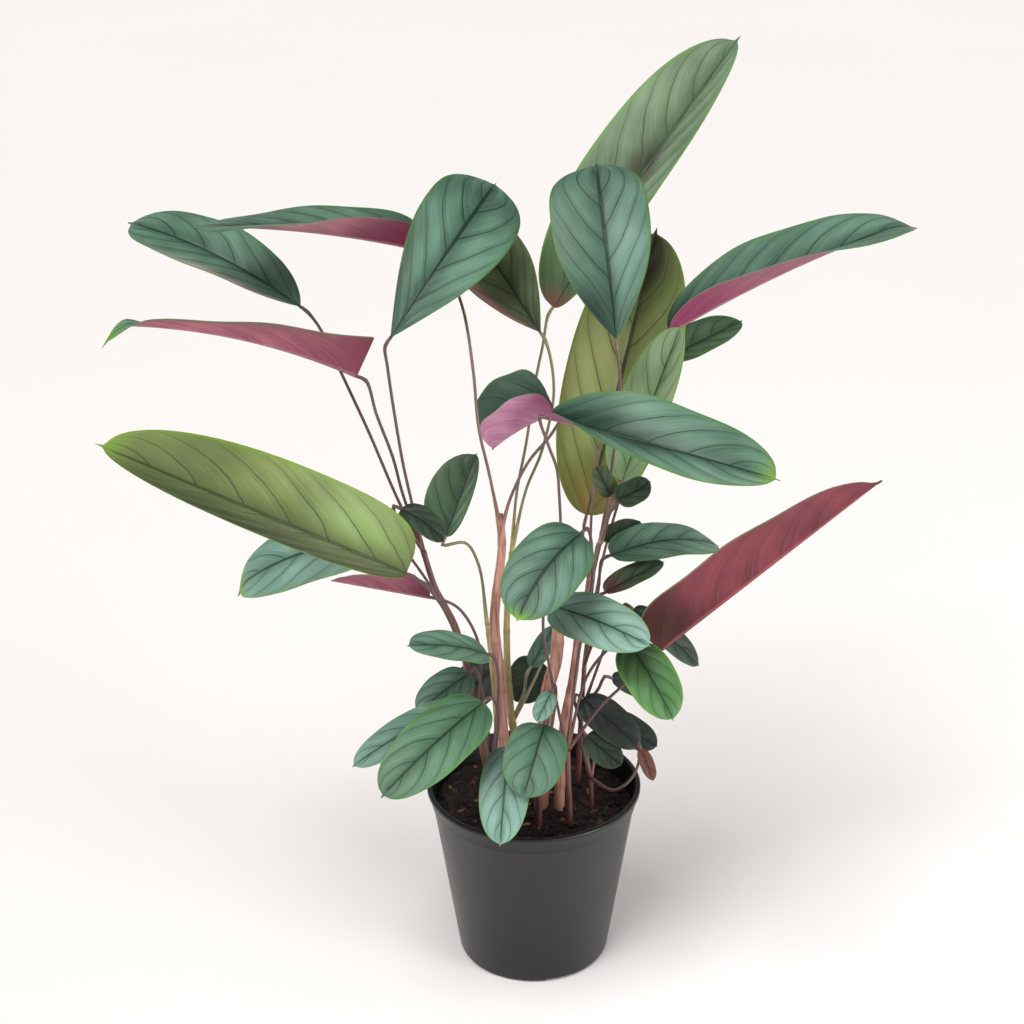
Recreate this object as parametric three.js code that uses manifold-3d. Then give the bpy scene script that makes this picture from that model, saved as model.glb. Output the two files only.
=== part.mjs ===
// A potted ctenanthe setosa: a charcoal nursery pot, its soil, the leafy stems and every blade.
// Millimetres, +Z up. The origin is the centre of the pot's flat underside, and -Y is the front.
import * as THREE from "three";
import { mergeVertices } from "three/addons/utils/BufferGeometryUtils.js";
import Module from "manifold-3d";

const wasm = await Module();
wasm.setup();

// Pot
const POT_HEIGHT = 150;
const RIM_RADIUS = 85;
const BASE_RADIUS = 60;
const WALL = 1.6;
const FLOOR = 4;
const LIP_WIDTH = 2.4;
const LIP_HEIGHT = 4;
const STEP_BELOW_RIM = 17;
const STEP_DEPTH = 0.9;
const POT_SIDES = 40;
const FOOT_NOTCH = { width: 24, height: 2.6, depth: 4, angles: [-69, 21, 111, 201] };
const DRAIN_RADIUS = 4;
const DRAIN_CIRCLE = 42;
const DRAIN_COUNT = 8;

// Soil
const SOIL_TOP = 132;
const SOIL_GAP = 0.3;
const SOIL_MOUND = 5;
const HOLE_GAP = 0.4;
const FOOT_DEPTH = 22;

// Blades and petioles
const BLADE_THICKNESS = 1;
const STALK_RADIUS = 1.25;
const STALK_SIDES = 5;
const JOINT_GAP = 0.45;
const JOINT_LENGTH = 7;
const CURL = 12;
const RIPPLE = 0.012;
const RIPPLES = 2.5;

const COLOURS = {
  pot: "#3f4142",
  soil: "#2b1913",
  silver: "#7fa58f",
  teal: "#4f7767",
  dark: "#2f4a38",
  olive: "#7f9160",
  bright: "#6fa36b",
  rosy: "#a06074",
  maroon: "#7a3a46",
  dry: "#8a5a50",
  cane: "#a9705c",
  stalk: "#5a3532",
  lime: "#8f9a55",
};

// base and tip are the ends of the midrib. face is the way the upper side looks. fold and foldTip are how
// far each half is raised from flat, in degrees, and it falls by CURL at the edge. ease over 1 lets the fold
// open sooner. bend lifts the middle of the midrib and sway moves it sideways, as shares of the length. skew
// makes one half wider than the other, and shift puts its widest place nearer the tip. wide over 1 does that
// to both halves, square over 2 fills the ends out, point is the tip.
const LEAVES = [
  { name: "far_left", base: [-173, 40, 533], tip: [-309, 110, 577], width: 56, face: [0, -0.35, 1],
    fold: 22, foldTip: 6, bend: 0.06, square: 2.6, wide: 1.35, skew: -0.15, colour: "silver" },
  { name: "left_folded", base: [-79, 70, 566], tip: [-244, 20, 599], width: 66, face: [0, 0.1, 1],
    fold: 62, foldTip: 0, bend: 0.03, square: 2.8, colour: "silver" },
  { name: "left_rosy", base: [-128, -10, 496], tip: [-304, -40, 545], width: 68, face: [0, 0.5, 1],
    fold: 58, foldTip: 16, bend: 0.055, square: 1.5, wide: 0.16, colour: "rosy" },
  { name: "upper_left", base: [-102, -20, 529], tip: [-28, 95, 612], width: 72, face: [0.1, -0.9, 0.45],
    fold: 6, foldTip: 4, bend: 0.12, wide: 1.9, square: 2.4, point: 0.08, colour: "silver" },
  { name: "upper_back", base: [5, 50, 509], tip: [-48, 110, 575], width: 56, face: [0.2, -0.9, 0.35],
    fold: 10, foldTip: 8, skew: 0.05, square: 2.2, wide: 1.9, colour: "teal" },
  { name: "tall", base: [15, 90, 516], tip: [160, 190, 703], width: 62, face: [-0.2, -0.9, 0.35],
    fold: 8, foldTip: 6, bend: 0.03, skew: 0.45, wide: 0.95, square: 2.2, point: 0.2,
    colour: "silver" },
  { name: "right_folded", base: [103, 70, 502], tip: [298, 140, 571], width: 76, face: [0, -0.12, 1],
    fold: 75, foldTip: 12, bend: 0.03, square: 2.5, wide: 1.0, skew: -0.1, colour: "silver" },
  { name: "crown", base: [59, -10, 525], tip: [46, 80, 631], width: 72, face: [0, -0.95, 0.3], fold: 8,
    foldTip: 6, bend: 0.1, wide: 1.75, square: 2.9, point: 0.06, skew: 0.06, colour: "teal" },
  { name: "olive_upright", base: [42, 80, 347], tip: [97, 160, 559], width: 88, face: [0, -0.95, 0.3],
    fold: 8, foldTip: 8, bend: 0.03, wide: 1.0, square: 2.2, colour: "olive" },
  { name: "olive_narrow", base: [68, 40, 393], tip: [111, 58, 513], width: 40, face: [-0.3, -0.9, 0.3],
    fold: 10, foldTip: 10, skew: 0.25, colour: "olive" },
  { name: "bright_front", base: [11, -20, 467], tip: [172, -90, 448], width: 60,
    face: [0.1, -0.5, 0.85], fold: 80, foldTip: 4, bend: 0.01, square: 2.5, wide: 0.95, ease: 2.2,
    skew: 0.2, shift: 0.2, colour: "silver" },
  { name: "short_folded", base: [16, 4, 463], tip: [-31, 5, 433], width: 75, face: [0, -0.1, 1],
    fold: 72, foldTip: 66, square: 3.6, point: 0.05, skew: -0.08, bend: 0.05, wide: 0.85,
    colour: "teal" },
  { name: "big_olive", base: [-93, -58, 361], tip: [-297, -118, 487], width: 57,
    face: [-0.2, -0.9, 0.5], fold: 10, foldTip: 8, bend: 0.04, square: 2.5, wide: 0.8, skew: -0.5,
    shift: 0.15, colour: "olive" },
  { name: "low_left_teal", base: [-116, 34, 349], tip: [-236, 62, 291], width: 56, face: [0, -0.6, 0.8],
    fold: 8, foldTip: 6, bend: 0.12, colour: "teal" },
  { name: "low_left_rosy", base: [-78, -28, 327], tip: [-151, -30, 342], width: 42, face: [0, 0.5, 1],
    fold: 55, foldTip: 20, colour: "rosy" },
  { name: "teal_behind", base: [-97, -30, 400], tip: [-66, -42, 379], width: 24, face: [0, -0.3, 0.95],
    fold: 12, foldTip: 10, bend: 0.12, colour: "dark" },
  { name: "small_upright", base: [-66, -8, 368], tip: [-43, 30, 420], width: 34, face: [0, -0.9, 0.4],
    fold: 8, foldTip: 8, square: 2.1, skew: 0.5, colour: "teal" },
  { name: "centre_front", base: [34, -60, 394], tip: [-12, -115, 351], width: 54,
    face: [-0.1, -0.75, 0.65], fold: 6, foldTip: 4, bend: 0.06, sway: -0.05, colour: "silver" },
  { name: "centre_pale", base: [14, -45, 328], tip: [84, -98, 322], width: 42, face: [0, -0.6, 0.8],
    fold: 8, foldTip: 6, bend: 0.06, colour: "silver" },
  { name: "drooping_bright", base: [70, -54, 301], tip: [102, -98, 261], width: 40,
    face: [0.2, -0.7, 0.7], fold: 6, foldTip: 6, bend: 0.08, colour: "bright" },
  { name: "small_dark_right", base: [76, -2, 304], tip: [128, -6, 257], width: 24,
    face: [0.2, -0.5, 0.8], fold: 8, foldTip: 8, bend: 0.05, colour: "dark" },
  { name: "maroon_right", base: [95, -50, 294], tip: [237, -120, 461], width: 80,
    face: [-0.55, 0.75, 0.8], fold: 50, foldTip: 30, square: 3.2, wide: 0.75, colour: "maroon" },
  { name: "back_right_dark", base: [103, 120, 463], tip: [171, 190, 472], width: 32,
    face: [0, -0.6, 0.8], fold: 8, foldTip: 8, skew: 0.25, colour: "dark" },
  { name: "curled_right", base: [61, -24, 405], tip: [86, -18, 417], width: 20, face: [0, -0.7, 0.7],
    fold: 10, foldTip: 10, bend: -0.12, square: 3.4, point: 0.05, colour: "olive" },
  { name: "curled_left", base: [58, -14, 404], tip: [46, -12, 427], width: 17, face: [0.2, -0.8, 0.6],
    fold: 14, foldTip: 14, bend: -0.1, square: 3.4, point: 0.05, colour: "olive" },
  { name: "right_middle", base: [59, 14, 342], tip: [147, 70, 324], width: 42, face: [0, -0.35, 1],
    fold: 12, foldTip: 8, bend: 0.1, colour: "silver" },
  { name: "right_under", base: [54, -8, 321], tip: [100, 14, 337], width: 23, face: [0, -0.3, 1],
    fold: 30, foldTip: 20, colour: "dark" },
  { name: "small_dark_centre", base: [54, 32, 346], tip: [84, 70, 346], width: 22, face: [0, -0.5, 1],
    fold: 10, foldTip: 8, colour: "dark" },
  { name: "low_left_green", base: [-35, -32, 281], tip: [-93, -66, 306], width: 32, face: [0, -0.4, 1],
    fold: 8, foldTip: 8, bend: 0.06, colour: "silver" },
  { name: "low_left_round", base: [-50, -18, 257], tip: [-88, -48, 238], width: 32,
    face: [-0.1, -0.6, 0.8], fold: 6, foldTip: 6, bend: 0.06, colour: "silver" },
  { name: "low_left_dark", base: [-28, 34, 236], tip: [-68, 24, 205], width: 38, face: [0, -0.6, 0.8],
    fold: 6, foldTip: 6, square: 2.8, colour: "dark" },
  { name: "dark_between", base: [4, 46, 235], tip: [-15, 38, 201], width: 34, face: [0, -0.7, 0.7],
    fold: 6, foldTip: 6, colour: "dark" },
  { name: "low_outer", base: [-58, -50, 247], tip: [-134, -100, 223], width: 28,
    face: [-0.1, -0.6, 0.8], fold: 6, foldTip: 6, bend: 0.06, colour: "silver" },
  { name: "low_broad", base: [-38, -60, 255], tip: [-111, -130, 215], width: 50,
    face: [-0.1, -0.65, 0.75], fold: 6, foldTip: 6, bend: 0.06, colour: "silver" },
  { name: "over_rim", base: [-18, -60, 217], tip: [-25, -118, 166], width: 38, face: [-0.1, -0.85, 0.4],
    fold: 6, foldTip: 6, bend: 0.08, colour: "silver" },
  { name: "front_round", base: [8, -60, 236], tip: [-8, -105, 199], width: 46, face: [0, -0.8, 0.6],
    fold: 6, foldTip: 6, bend: 0.06, colour: "silver" },
  { name: "front_small", base: [13, -50, 258], tip: [2, -75, 247], width: 15, face: [0, -0.8, 0.6],
    fold: 6, foldTip: 6, colour: "silver" },
  { name: "blue_between", base: [-2, 10, 248], tip: [17, 40, 269], width: 16, face: [0, -0.8, 0.6],
    fold: 6, foldTip: 6, colour: "teal" },
  { name: "dark_low_right", base: [38, -2, 226], tip: [82, -26, 196], width: 30, face: [0, -0.6, 0.8],
    fold: 6, foldTip: 6, bend: 0.06, colour: "dark" },
  { name: "dark_low_back", base: [58, 10, 203], tip: [98, 0, 182], width: 26, face: [0, -0.6, 0.8],
    fold: 6, foldTip: 6, colour: "dark" },
  { name: "dry_curl", base: [82, -44, 205], tip: [91, -62, 188], width: 12, face: [0.3, -0.8, 0.4],
    fold: 20, foldTip: 20, colour: "dry" },
  { name: "purple_low", base: [62, 28, 228], tip: [87, 50, 200], width: 18, face: [0, -0.6, 0.8],
    fold: 6, foldTip: 6, bend: 0.1, colour: "maroon" },
  { name: "soil_leaf", base: [41, -24, 206], tip: [68, -36, 186], width: 24, face: [0, -0.6, 0.8],
    fold: 6, foldTip: 6, colour: "dark" },
];

// Each leafy stem stands in its own hole at foot. radius is its trunk's at the soil and at its top. A stalk
// leaves the trunk at its first point and runs through the others to the leaf's base.
const STEMS = [
  {
    name: "stem_left",
    foot: [-34, -5],
    radius: [3.2, 2.2],
    trunk: [[-44, -5, 207], [-59, -6, 288], [-75, -8, 326], [-83, -10, 357]],
    colour: "stalk",
    stalks: {
      upper_left: [[-83, -10, 357], [-91, -12, 400], [-96, -14, 429], [-101, -16, 468], [-105, -18, 506]],
      far_left: [[-83, -10, 357], [-102, -4, 398], [-122, 6, 446], [-141, 20, 485], [-157, 32, 517]],
      left_rosy: [[-83, -10, 357], [-97, -9, 402], [-104, -9, 433], [-115, -9, 467]],
      teal_behind: [[-83, -10, 357], [-93, -14, 376], [-101, -22, 390]],
      big_olive: [[-52, -6, 255], [-62, -22, 300], [-74, -42, 336]],
      low_left_teal: [[-59, -6, 288], [-80, 12, 318], [-98, 26, 339]],
      low_left_rosy: [[-44, -5, 207], [-42, -14, 280], [-56, -18, 312]],
    },
  },
  {
    name: "stem_left_inner",
    foot: [-28, 18],
    radius: [2.2, 1.6],
    trunk: [[-31, 12, 221], [-36, 6, 287]],
    colour: "lime",
    stalks: {
      small_upright: [[-36, 6, 287], [-42, 2, 340], [-52, -6, 362]],
    },
  },
  {
    name: "stem_cane",
    foot: [-18, -10],
    radius: [5.8, 3],
    trunk: [[-24, -10, 190], [-26, -10, 246], [-30, -8, 297], [-24, -4, 360], [-26, 0, 383]],
    colour: "cane",
    stalks: {
      left_folded: [[-26, 0, 376], [-33, -17, 424], [-40, -23, 462], [-44, -6, 500], [-53, 30, 538]],
      short_folded: [[-25, -3, 366], [-18, -2, 395], [-4, 0, 425], [14, 2, 448]],
    },
  },
  {
    name: "stem_centre",
    foot: [-4, 14],
    radius: [3.6, 2.2],
    trunk: [[-17, 12, 197], [-21, 12, 283], [-17, 14, 344]],
    colour: "lime",
    stalks: {
      tall: [[-17, 14, 344], [-13, 34, 386], [-6, 52, 418], [2, 72, 466], [7, 82, 488]],
      upper_back: [[-17, 14, 344], [-6, 26, 391], [6, 36, 419], [15, 44, 461], [13, 46, 488]],
      blue_between: [[-17, 12, 197], [-8, 12, 223]],
      low_left_dark: [[-17, 12, 197], [-18, 24, 222]],
      dark_between: [[-17, 12, 197], [-2, 26, 222], [8, 40, 241]],
    },
  },
  {
    name: "stem_centre_red",
    foot: [6, -14],
    radius: [6.4, 4.8],
    trunk: [[11, -12, 239], [17, -10, 265], [19, -8, 293]],
    colour: "cane",
    stalks: {
      bright_front: [[19, -8, 293], [20, -10, 379], [19, -11, 401], [17, -13, 425], [11, -16, 444]],
      olive_upright: [[19, -8, 293], [30, 16, 320], [38, 56, 336]],
    },
  },
  {
    name: "stem_right_red",
    foot: [20, -16],
    radius: [4.6, 3.2],
    trunk: [[24, -14, 212], [30, -10, 246], [34, -6, 280]],
    colour: "cane",
    stalks: {
      crown: [[34, -6, 280], [44, -2, 330], [53, 2, 380], [59, 2, 429], [63, -2, 485]],
      right_folded: [
        [34, -6, 280], [42, 10, 330], [45, 38, 375], [52, 68, 410], [76, 88, 450], [95, 80, 484],
      ],
      olive_narrow: [[34, -6, 280], [44, 8, 330], [57, 28, 372]],
      curled_right: [[44, -2, 330], [50, -16, 366], [55, -20, 388]],
      curled_left: [[50, -16, 366], [57, -16, 392]],
    },
  },
  {
    name: "stem_right",
    foot: [36, 22],
    radius: [2.6, 1.8],
    trunk: [[38, 22, 201], [40, 24, 243]],
    colour: "stalk",
    stalks: {
      right_middle: [[40, 24, 243], [50, 20, 310]],
      right_under: [[40, 24, 243], [50, 4, 290]],
      small_dark_centre: [[40, 24, 243], [46, 28, 311]],
      back_right_dark: [[40, 24, 243], [56, 70, 318], [85, 115, 403]],
      small_dark_right: [[38, 22, 201], [56, 6, 270], [64, 2, 298]],
      purple_low: [[38, 22, 201], [52, 24, 222]],
    },
  },
  {
    name: "stem_right_front",
    foot: [28, -36],
    radius: [2.8, 2.2],
    trunk: [[26, -32, 197]],
    colour: "stalk",
    stalks: {
      maroon_right: [[26, -32, 197], [52, -34, 238], [78, -38, 268]],
      drooping_bright: [[26, -32, 197], [40, -34, 262], [56, -44, 292]],
      centre_front: [[26, -32, 197], [33, -36, 277], [43, -46, 352]],
      centre_pale: [[26, -32, 197], [13, -36, 266], [7, -40, 309]],
    },
  },
  {
    name: "stem_low_left",
    foot: [-34, -32],
    radius: [2.8, 2.4],
    trunk: [[-33, -32, 180]],
    colour: "stalk",
    stalks: {
      low_left_green: [[-33, -32, 180], [-28, -30, 232], [-27, -29, 262]],
      low_left_round: [[-33, -32, 180], [-36, -24, 220], [-41, -15, 248]],
      low_outer: [[-33, -32, 180], [-38, -38, 215], [-46, -44, 241]],
      low_broad: [[-33, -32, 180], [-28, -42, 220], [-29, -50, 250]],
    },
  },
  {
    name: "stem_low_front",
    foot: [4, -40],
    radius: [2.8, 2.4],
    trunk: [[4, -40, 172]],
    colour: "stalk",
    stalks: {
      over_rim: [[4, -40, 172], [0, -42, 205], [-10, -45, 224]],
      front_round: [[4, -40, 172], [9, -42, 212], [11, -47, 236]],
      front_small: [[4, -40, 172], [13, -37, 215], [17, -39, 252]],
    },
  },
  {
    name: "stem_low_right",
    foot: [46, -12],
    radius: [2.2, 1.8],
    trunk: [[45, -12, 160]],
    colour: "stalk",
    stalks: {
      dark_low_right: [[45, -12, 160], [38, -6, 200], [32, -1, 224]],
      dark_low_back: [[45, -12, 160], [50, 0, 188], [53, 8, 202]],
      dry_curl: [[45, -12, 160], [62, -36, 164], [76, -46, 182], [81, -45, 198]],
      soil_leaf: [[45, -12, 160], [38, -16, 190], [36, -19, 204]],
    },
  },
];

const vec = (p) => new THREE.Vector3(...p);
const rad = THREE.MathUtils.degToRad;

// A closed geometry's shared vertices are merged, and it becomes a solid that can be joined or cut.
function solid(geometry) {
  const bare = new THREE.BufferGeometry();
  bare.setAttribute("position", geometry.getAttribute("position"));
  if (geometry.index) {
    bare.setIndex(geometry.index);
  }
  const merged = mergeVertices(bare, 1e-4);
  return new wasm.Manifold(
    new wasm.Mesh({
      numProp: 3,
      vertProperties: merged.getAttribute("position").array,
      triVerts: new Uint32Array(merged.index.array),
    }),
  );
}

function geometryOf(body) {
  const mesh = body.getMesh();
  const geometry = new THREE.BufferGeometry();
  geometry.setAttribute("position", new THREE.BufferAttribute(mesh.vertProperties, mesh.numProp));
  geometry.setIndex(new THREE.BufferAttribute(mesh.triVerts, 1));
  geometry.computeVertexNormals();
  return geometry;
}

// Half the width of a blade at t along it, as a share of the widest: a round base and a short tip.
function outline(leaf, t, hand) {
  const wide = (leaf.wide ?? 0.85) * (1 + hand * (leaf.shift ?? 0));
  const along = Math.min(t / 0.975, 1) ** wide;
  const body = Math.sqrt(Math.max(0, 1 - Math.abs(2 * along - 1) ** (leaf.square ?? 2.5)));
  const point = t > 0.9 ? ((leaf.point ?? 0.16) * (1 - t)) / 0.1 : 0;
  return Math.max(body, point);
}

// The midrib at t, and the frame there: along, to the side, and out of the upper face.
function spine(leaf, t) {
  const base = vec(leaf.base);
  const chord = vec(leaf.tip).sub(base);
  const length = chord.length();
  const ahead = chord.clone().normalize();
  const out = vec(leaf.face).addScaledVector(ahead, -vec(leaf.face).dot(ahead)).normalize();
  const side = out.clone().cross(ahead);
  const bend = (leaf.bend ?? 0) * length;
  const sway = (leaf.sway ?? 0) * length;
  const point = base
    .addScaledVector(chord, t)
    .addScaledVector(out, 4 * t * (1 - t) * bend)
    .addScaledVector(side, 4 * t * (1 - t) * sway);
  const tangent = chord
    .clone()
    .addScaledVector(out, 4 * (1 - 2 * t) * bend)
    .addScaledVector(side, 4 * (1 - 2 * t) * sway)
    .normalize();
  const up = out.addScaledVector(tangent, -out.dot(tangent)).normalize();
  return { point, tangent, up, side: up.clone().cross(tangent) };
}

// A blade is a grid over its upper face, the same grid on its lower face, and a rim that joins them.
function blade(leaf) {
  const length = vec(leaf.base).distanceTo(vec(leaf.tip));
  const rows = length > 110 ? 12 : length > 55 ? 8 : 6;
  const columns = 4;
  const grid = new THREE.PlaneGeometry(1, 1, columns, rows);
  const upper = [];
  const lower = [];
  for (let row = 0; row <= rows; row++) {
    const x = row / rows;
    const t = x - (0.6 * Math.sin(2 * Math.PI * x)) / (2 * Math.PI);
    const at = spine(leaf, t);
    const flattened = 1 - (1 - t) ** (leaf.ease ?? 1);
    const fold = rad(THREE.MathUtils.lerp(leaf.fold ?? 8, leaf.foldTip ?? 6, flattened));
    for (let column = 0; column <= columns; column++) {
      const across = (2 * column) / columns - 1;
      const hand = Math.sign(across);
      const share = 1 + hand * (leaf.skew ?? 0);
      const half = Math.max((leaf.width / 2) * share * outline(leaf, t, hand), row === rows ? 0.7 : 1.3);
      const away = Math.abs(across);
      const lift = fold - rad(CURL) * away;
      const middle = fold - (rad(CURL) * away) / 2;
      const phase = RIPPLES * t + (hand > 0 ? 0.3 : 0);
      const ripple = RIPPLE * leaf.width * away * away * Math.sin(2 * Math.PI * phase);
      const sideways = hand * half * away * Math.cos(middle);
      const raised = half * away * Math.sin(middle) + ripple;
      const point = at.point.clone().addScaledVector(at.side, sideways).addScaledVector(at.up, raised);
      const normal = at.up
        .clone()
        .multiplyScalar(away ? Math.cos(lift) : 1)
        .addScaledVector(at.side, -hand * Math.sin(lift));
      const skin = BLADE_THICKNESS / 2 / (away ? 1 : Math.max(Math.cos(fold), 0.5));
      upper.push(...point.clone().addScaledVector(normal, skin).toArray());
      lower.push(...point.clone().addScaledVector(normal, -skin).toArray());
    }
  }
  const faces = Array.from(grid.index.array);
  const count = (rows + 1) * (columns + 1);
  const index = [];
  for (let i = 0; i < faces.length; i += 3) {
    const [a, b, c] = faces.slice(i, i + 3);
    index.push(a, b, c, count + a, count + c, count + b);
  }
  const edge = [];
  for (let column = 0; column < columns; column++) {
    edge.push(column);
  }
  for (let row = 0; row < rows; row++) {
    edge.push(row * (columns + 1) + columns);
  }
  for (let column = columns; column > 0; column--) {
    edge.push(rows * (columns + 1) + column);
  }
  for (let row = rows; row > 0; row--) {
    edge.push(row * (columns + 1));
  }
  edge.forEach((a, i) => {
    const b = edge[(i + 1) % edge.length];
    index.push(a, b, count + b, a, count + b, count + a);
  });
  const geometry = new THREE.BufferGeometry();
  geometry.setAttribute("position", new THREE.Float32BufferAttribute([...upper, ...lower], 3));
  geometry.setIndex(index);
  geometry.computeVertexNormals();
  return geometry;
}

// A tube along a curve through the points, tapered from one radius to the other.
function tube(points, from, to, sides, steps) {
  const path = new THREE.CatmullRomCurve3(points, false, "centripetal");
  const ring = [];
  for (let i = 0; i < sides; i++) {
    const a = (2 * Math.PI * i) / sides;
    ring.push(new THREE.Vector2(from * Math.cos(a), from * Math.sin(a)));
  }
  const geometry = new THREE.ExtrudeGeometry(new THREE.Shape(ring), {
    steps,
    extrudePath: path,
    bevelEnabled: false,
  });
  const centres = path.getSpacedPoints(steps);
  const position = geometry.getAttribute("position");
  const at = new THREE.Vector3();
  for (let i = 0; i < position.count; i++) {
    at.fromBufferAttribute(position, i);
    let nearest = 0;
    centres.forEach((c, k) => {
      if (c.distanceToSquared(at) < centres[nearest].distanceToSquared(at)) {
        nearest = k;
      }
    });
    const share = THREE.MathUtils.lerp(1, to / from, nearest / steps);
    at.sub(centres[nearest]).multiplyScalar(share).add(centres[nearest]);
    position.setXYZ(i, at.x, at.y, at.z);
  }
  return solid(geometry);
}

function soilHeight(x, y) {
  return SOIL_TOP + SOIL_MOUND * (1 - (x * x + y * y) / 5600);
}

function stem(plan) {
  const [x, y] = plan.foot;
  const ground = soilHeight(x, y);
  const start = [-FOOT_DEPTH, -8, 3].map((rise) => new THREE.Vector3(x, y, ground + rise));
  const trunk = [...start, ...plan.trunk.map(vec)];
  let body = tube(trunk, plan.radius[0], plan.radius[1], 8, 3 + 2 * plan.trunk.length);
  for (const [name, via] of Object.entries(plan.stalks)) {
    const leaf = LEAVES.find((l) => l.name === name);
    const { point, tangent } = spine(leaf, 0);
    const end = point.clone().addScaledVector(tangent, -JOINT_GAP);
    const joint = point.clone().addScaledVector(tangent, -JOINT_LENGTH);
    const steps = 1 + Math.round(1.5 * via.length);
    body = body.add(tube([...via.map(vec), joint, end], STALK_RADIUS, STALK_RADIUS, STALK_SIDES, steps));
  }
  return body;
}

// The outer radius of the pot's plain wall at a height.
function wallAt(z) {
  return THREE.MathUtils.lerp(BASE_RADIUS, RIM_RADIUS - LIP_WIDTH, z / POT_HEIGHT);
}

function pot() {
  const step = POT_HEIGHT - STEP_BELOW_RIM;
  const profile = [
    [0, 0],
    [BASE_RADIUS - 3, 0],
    [BASE_RADIUS - 0.8, 1],
    [BASE_RADIUS + 0.3, 3.5],
    [wallAt(step), step],
    [wallAt(step) + STEP_DEPTH, step + 1.2],
    [wallAt(POT_HEIGHT) + STEP_DEPTH, POT_HEIGHT - LIP_HEIGHT],
    [RIM_RADIUS, POT_HEIGHT - LIP_HEIGHT + 1],
    [RIM_RADIUS, POT_HEIGHT - 1],
    [RIM_RADIUS - 0.8, POT_HEIGHT],
    [wallAt(POT_HEIGHT) - WALL + 0.6, POT_HEIGHT],
    [wallAt(POT_HEIGHT) - WALL, POT_HEIGHT - 0.8],
    [wallAt(FLOOR) - WALL, FLOOR],
    [0, FLOOR],
  ].map(([r, z]) => new THREE.Vector2(r, z));
  let body = solid(new THREE.LatheGeometry(profile, POT_SIDES).rotateX(Math.PI / 2));
  for (const angle of FOOT_NOTCH.angles) {
    const cutter = new THREE.BoxGeometry(20, FOOT_NOTCH.width, 2 * FOOT_NOTCH.height);
    cutter.translate(BASE_RADIUS - FOOT_NOTCH.depth + 10, 0, 0).rotateZ(rad(angle));
    body = body.subtract(solid(cutter));
  }
  for (let i = 0; i < DRAIN_COUNT; i++) {
    const cutter = new THREE.CylinderGeometry(DRAIN_RADIUS, DRAIN_RADIUS, 4 * FLOOR, 12);
    const angle = (2 * Math.PI * (i + 0.5)) / DRAIN_COUNT;
    cutter.rotateX(Math.PI / 2).translate(DRAIN_CIRCLE, 0, 0).rotateZ(angle);
    body = body.subtract(solid(cutter));
  }
  return body;
}

function soil() {
  const inset = WALL + SOIL_GAP;
  const edge = wallAt(SOIL_TOP) - inset;
  const profile = [
    new THREE.Vector2(0, FLOOR),
    new THREE.Vector2(wallAt(FLOOR) - inset, FLOOR),
    new THREE.Vector2(edge, SOIL_TOP),
  ];
  for (const share of [0.8, 0.55, 0.3, 0]) {
    profile.push(new THREE.Vector2(edge * share, soilHeight(edge * share, 0)));
  }
  let body = solid(new THREE.LatheGeometry(profile, POT_SIDES).rotateX(Math.PI / 2));
  for (const plan of STEMS) {
    const [x, y] = plan.foot;
    const radius = plan.radius[0] + HOLE_GAP;
    const hole = new THREE.CylinderGeometry(radius, radius, 60, 16);
    hole.rotateX(Math.PI / 2).translate(x, y, soilHeight(x, y) - FOOT_DEPTH - HOLE_GAP + 30);
    body = body.subtract(solid(hole));
  }
  return body;
}

const plant = new THREE.Group();

function place(name, geometry, colour, roughness) {
  const material = new THREE.MeshStandardMaterial({ color: COLOURS[colour], roughness, metalness: 0 });
  const mesh = new THREE.Mesh(geometry, material);
  mesh.name = name;
  plant.add(mesh);
}

place("pot", geometryOf(pot()), "pot", 0.5);
place("soil", geometryOf(soil()), "soil", 0.95);
for (const plan of STEMS) {
  place(plan.name, geometryOf(stem(plan)), plan.colour, 0.5);
}
for (const leaf of LEAVES) {
  place("leaf_" + leaf.name, blade(leaf), leaf.colour, 0.45);
}

export default plant;
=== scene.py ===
"""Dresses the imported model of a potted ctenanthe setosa.

The plant, the soil and the pot are given in millimetres and the studio in metres, with +Z up
and -Y to the front.
"""

import logging
import math
import random
from dataclasses import dataclass
from enum import Enum
from typing import Any, Iterable, Optional, Sequence, Union

import bmesh
import bpy
from mathutils import Matrix, Quaternion, Vector, noise


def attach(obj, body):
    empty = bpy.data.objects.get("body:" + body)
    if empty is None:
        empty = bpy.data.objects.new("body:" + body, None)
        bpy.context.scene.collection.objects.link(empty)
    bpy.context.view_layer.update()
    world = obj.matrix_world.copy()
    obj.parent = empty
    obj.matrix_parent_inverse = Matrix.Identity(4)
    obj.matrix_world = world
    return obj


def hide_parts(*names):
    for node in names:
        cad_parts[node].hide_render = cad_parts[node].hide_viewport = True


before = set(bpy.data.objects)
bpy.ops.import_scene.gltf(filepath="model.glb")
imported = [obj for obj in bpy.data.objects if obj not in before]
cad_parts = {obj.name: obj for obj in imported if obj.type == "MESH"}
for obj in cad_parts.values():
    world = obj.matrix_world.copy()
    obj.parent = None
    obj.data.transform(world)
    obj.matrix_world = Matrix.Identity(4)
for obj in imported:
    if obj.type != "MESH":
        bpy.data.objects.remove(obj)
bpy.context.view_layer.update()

MM = 0.001
LEAF_UV = "leaf"
VEIN_CURVE = (0.55, 0.45)
VEIN_OFFSET = 0.45
VEIN_WAVER = 0.34
BODY = "root"
SOIL_TOP = 132.0
SOIL_MOUND = 5.0
SOIL_REACH = 5600.0
PLANT_MIDDLE = (0.0, 0.0, 0.35)

Colour = tuple[int, int, int]
Point = tuple[float, float, float]
Value = Union["Wire", float, tuple]
Element = Union[bmesh.types.BMVert, bmesh.types.BMEdge, bmesh.types.BMFace]

log = logging.getLogger("plant")


def soil_height(x: float, y: float) -> float:
    """The height of the soil's mound at a place, in millimetres."""
    return SOIL_TOP + SOIL_MOUND * (1 - (x * x + y * y) / SOIL_REACH)


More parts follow.
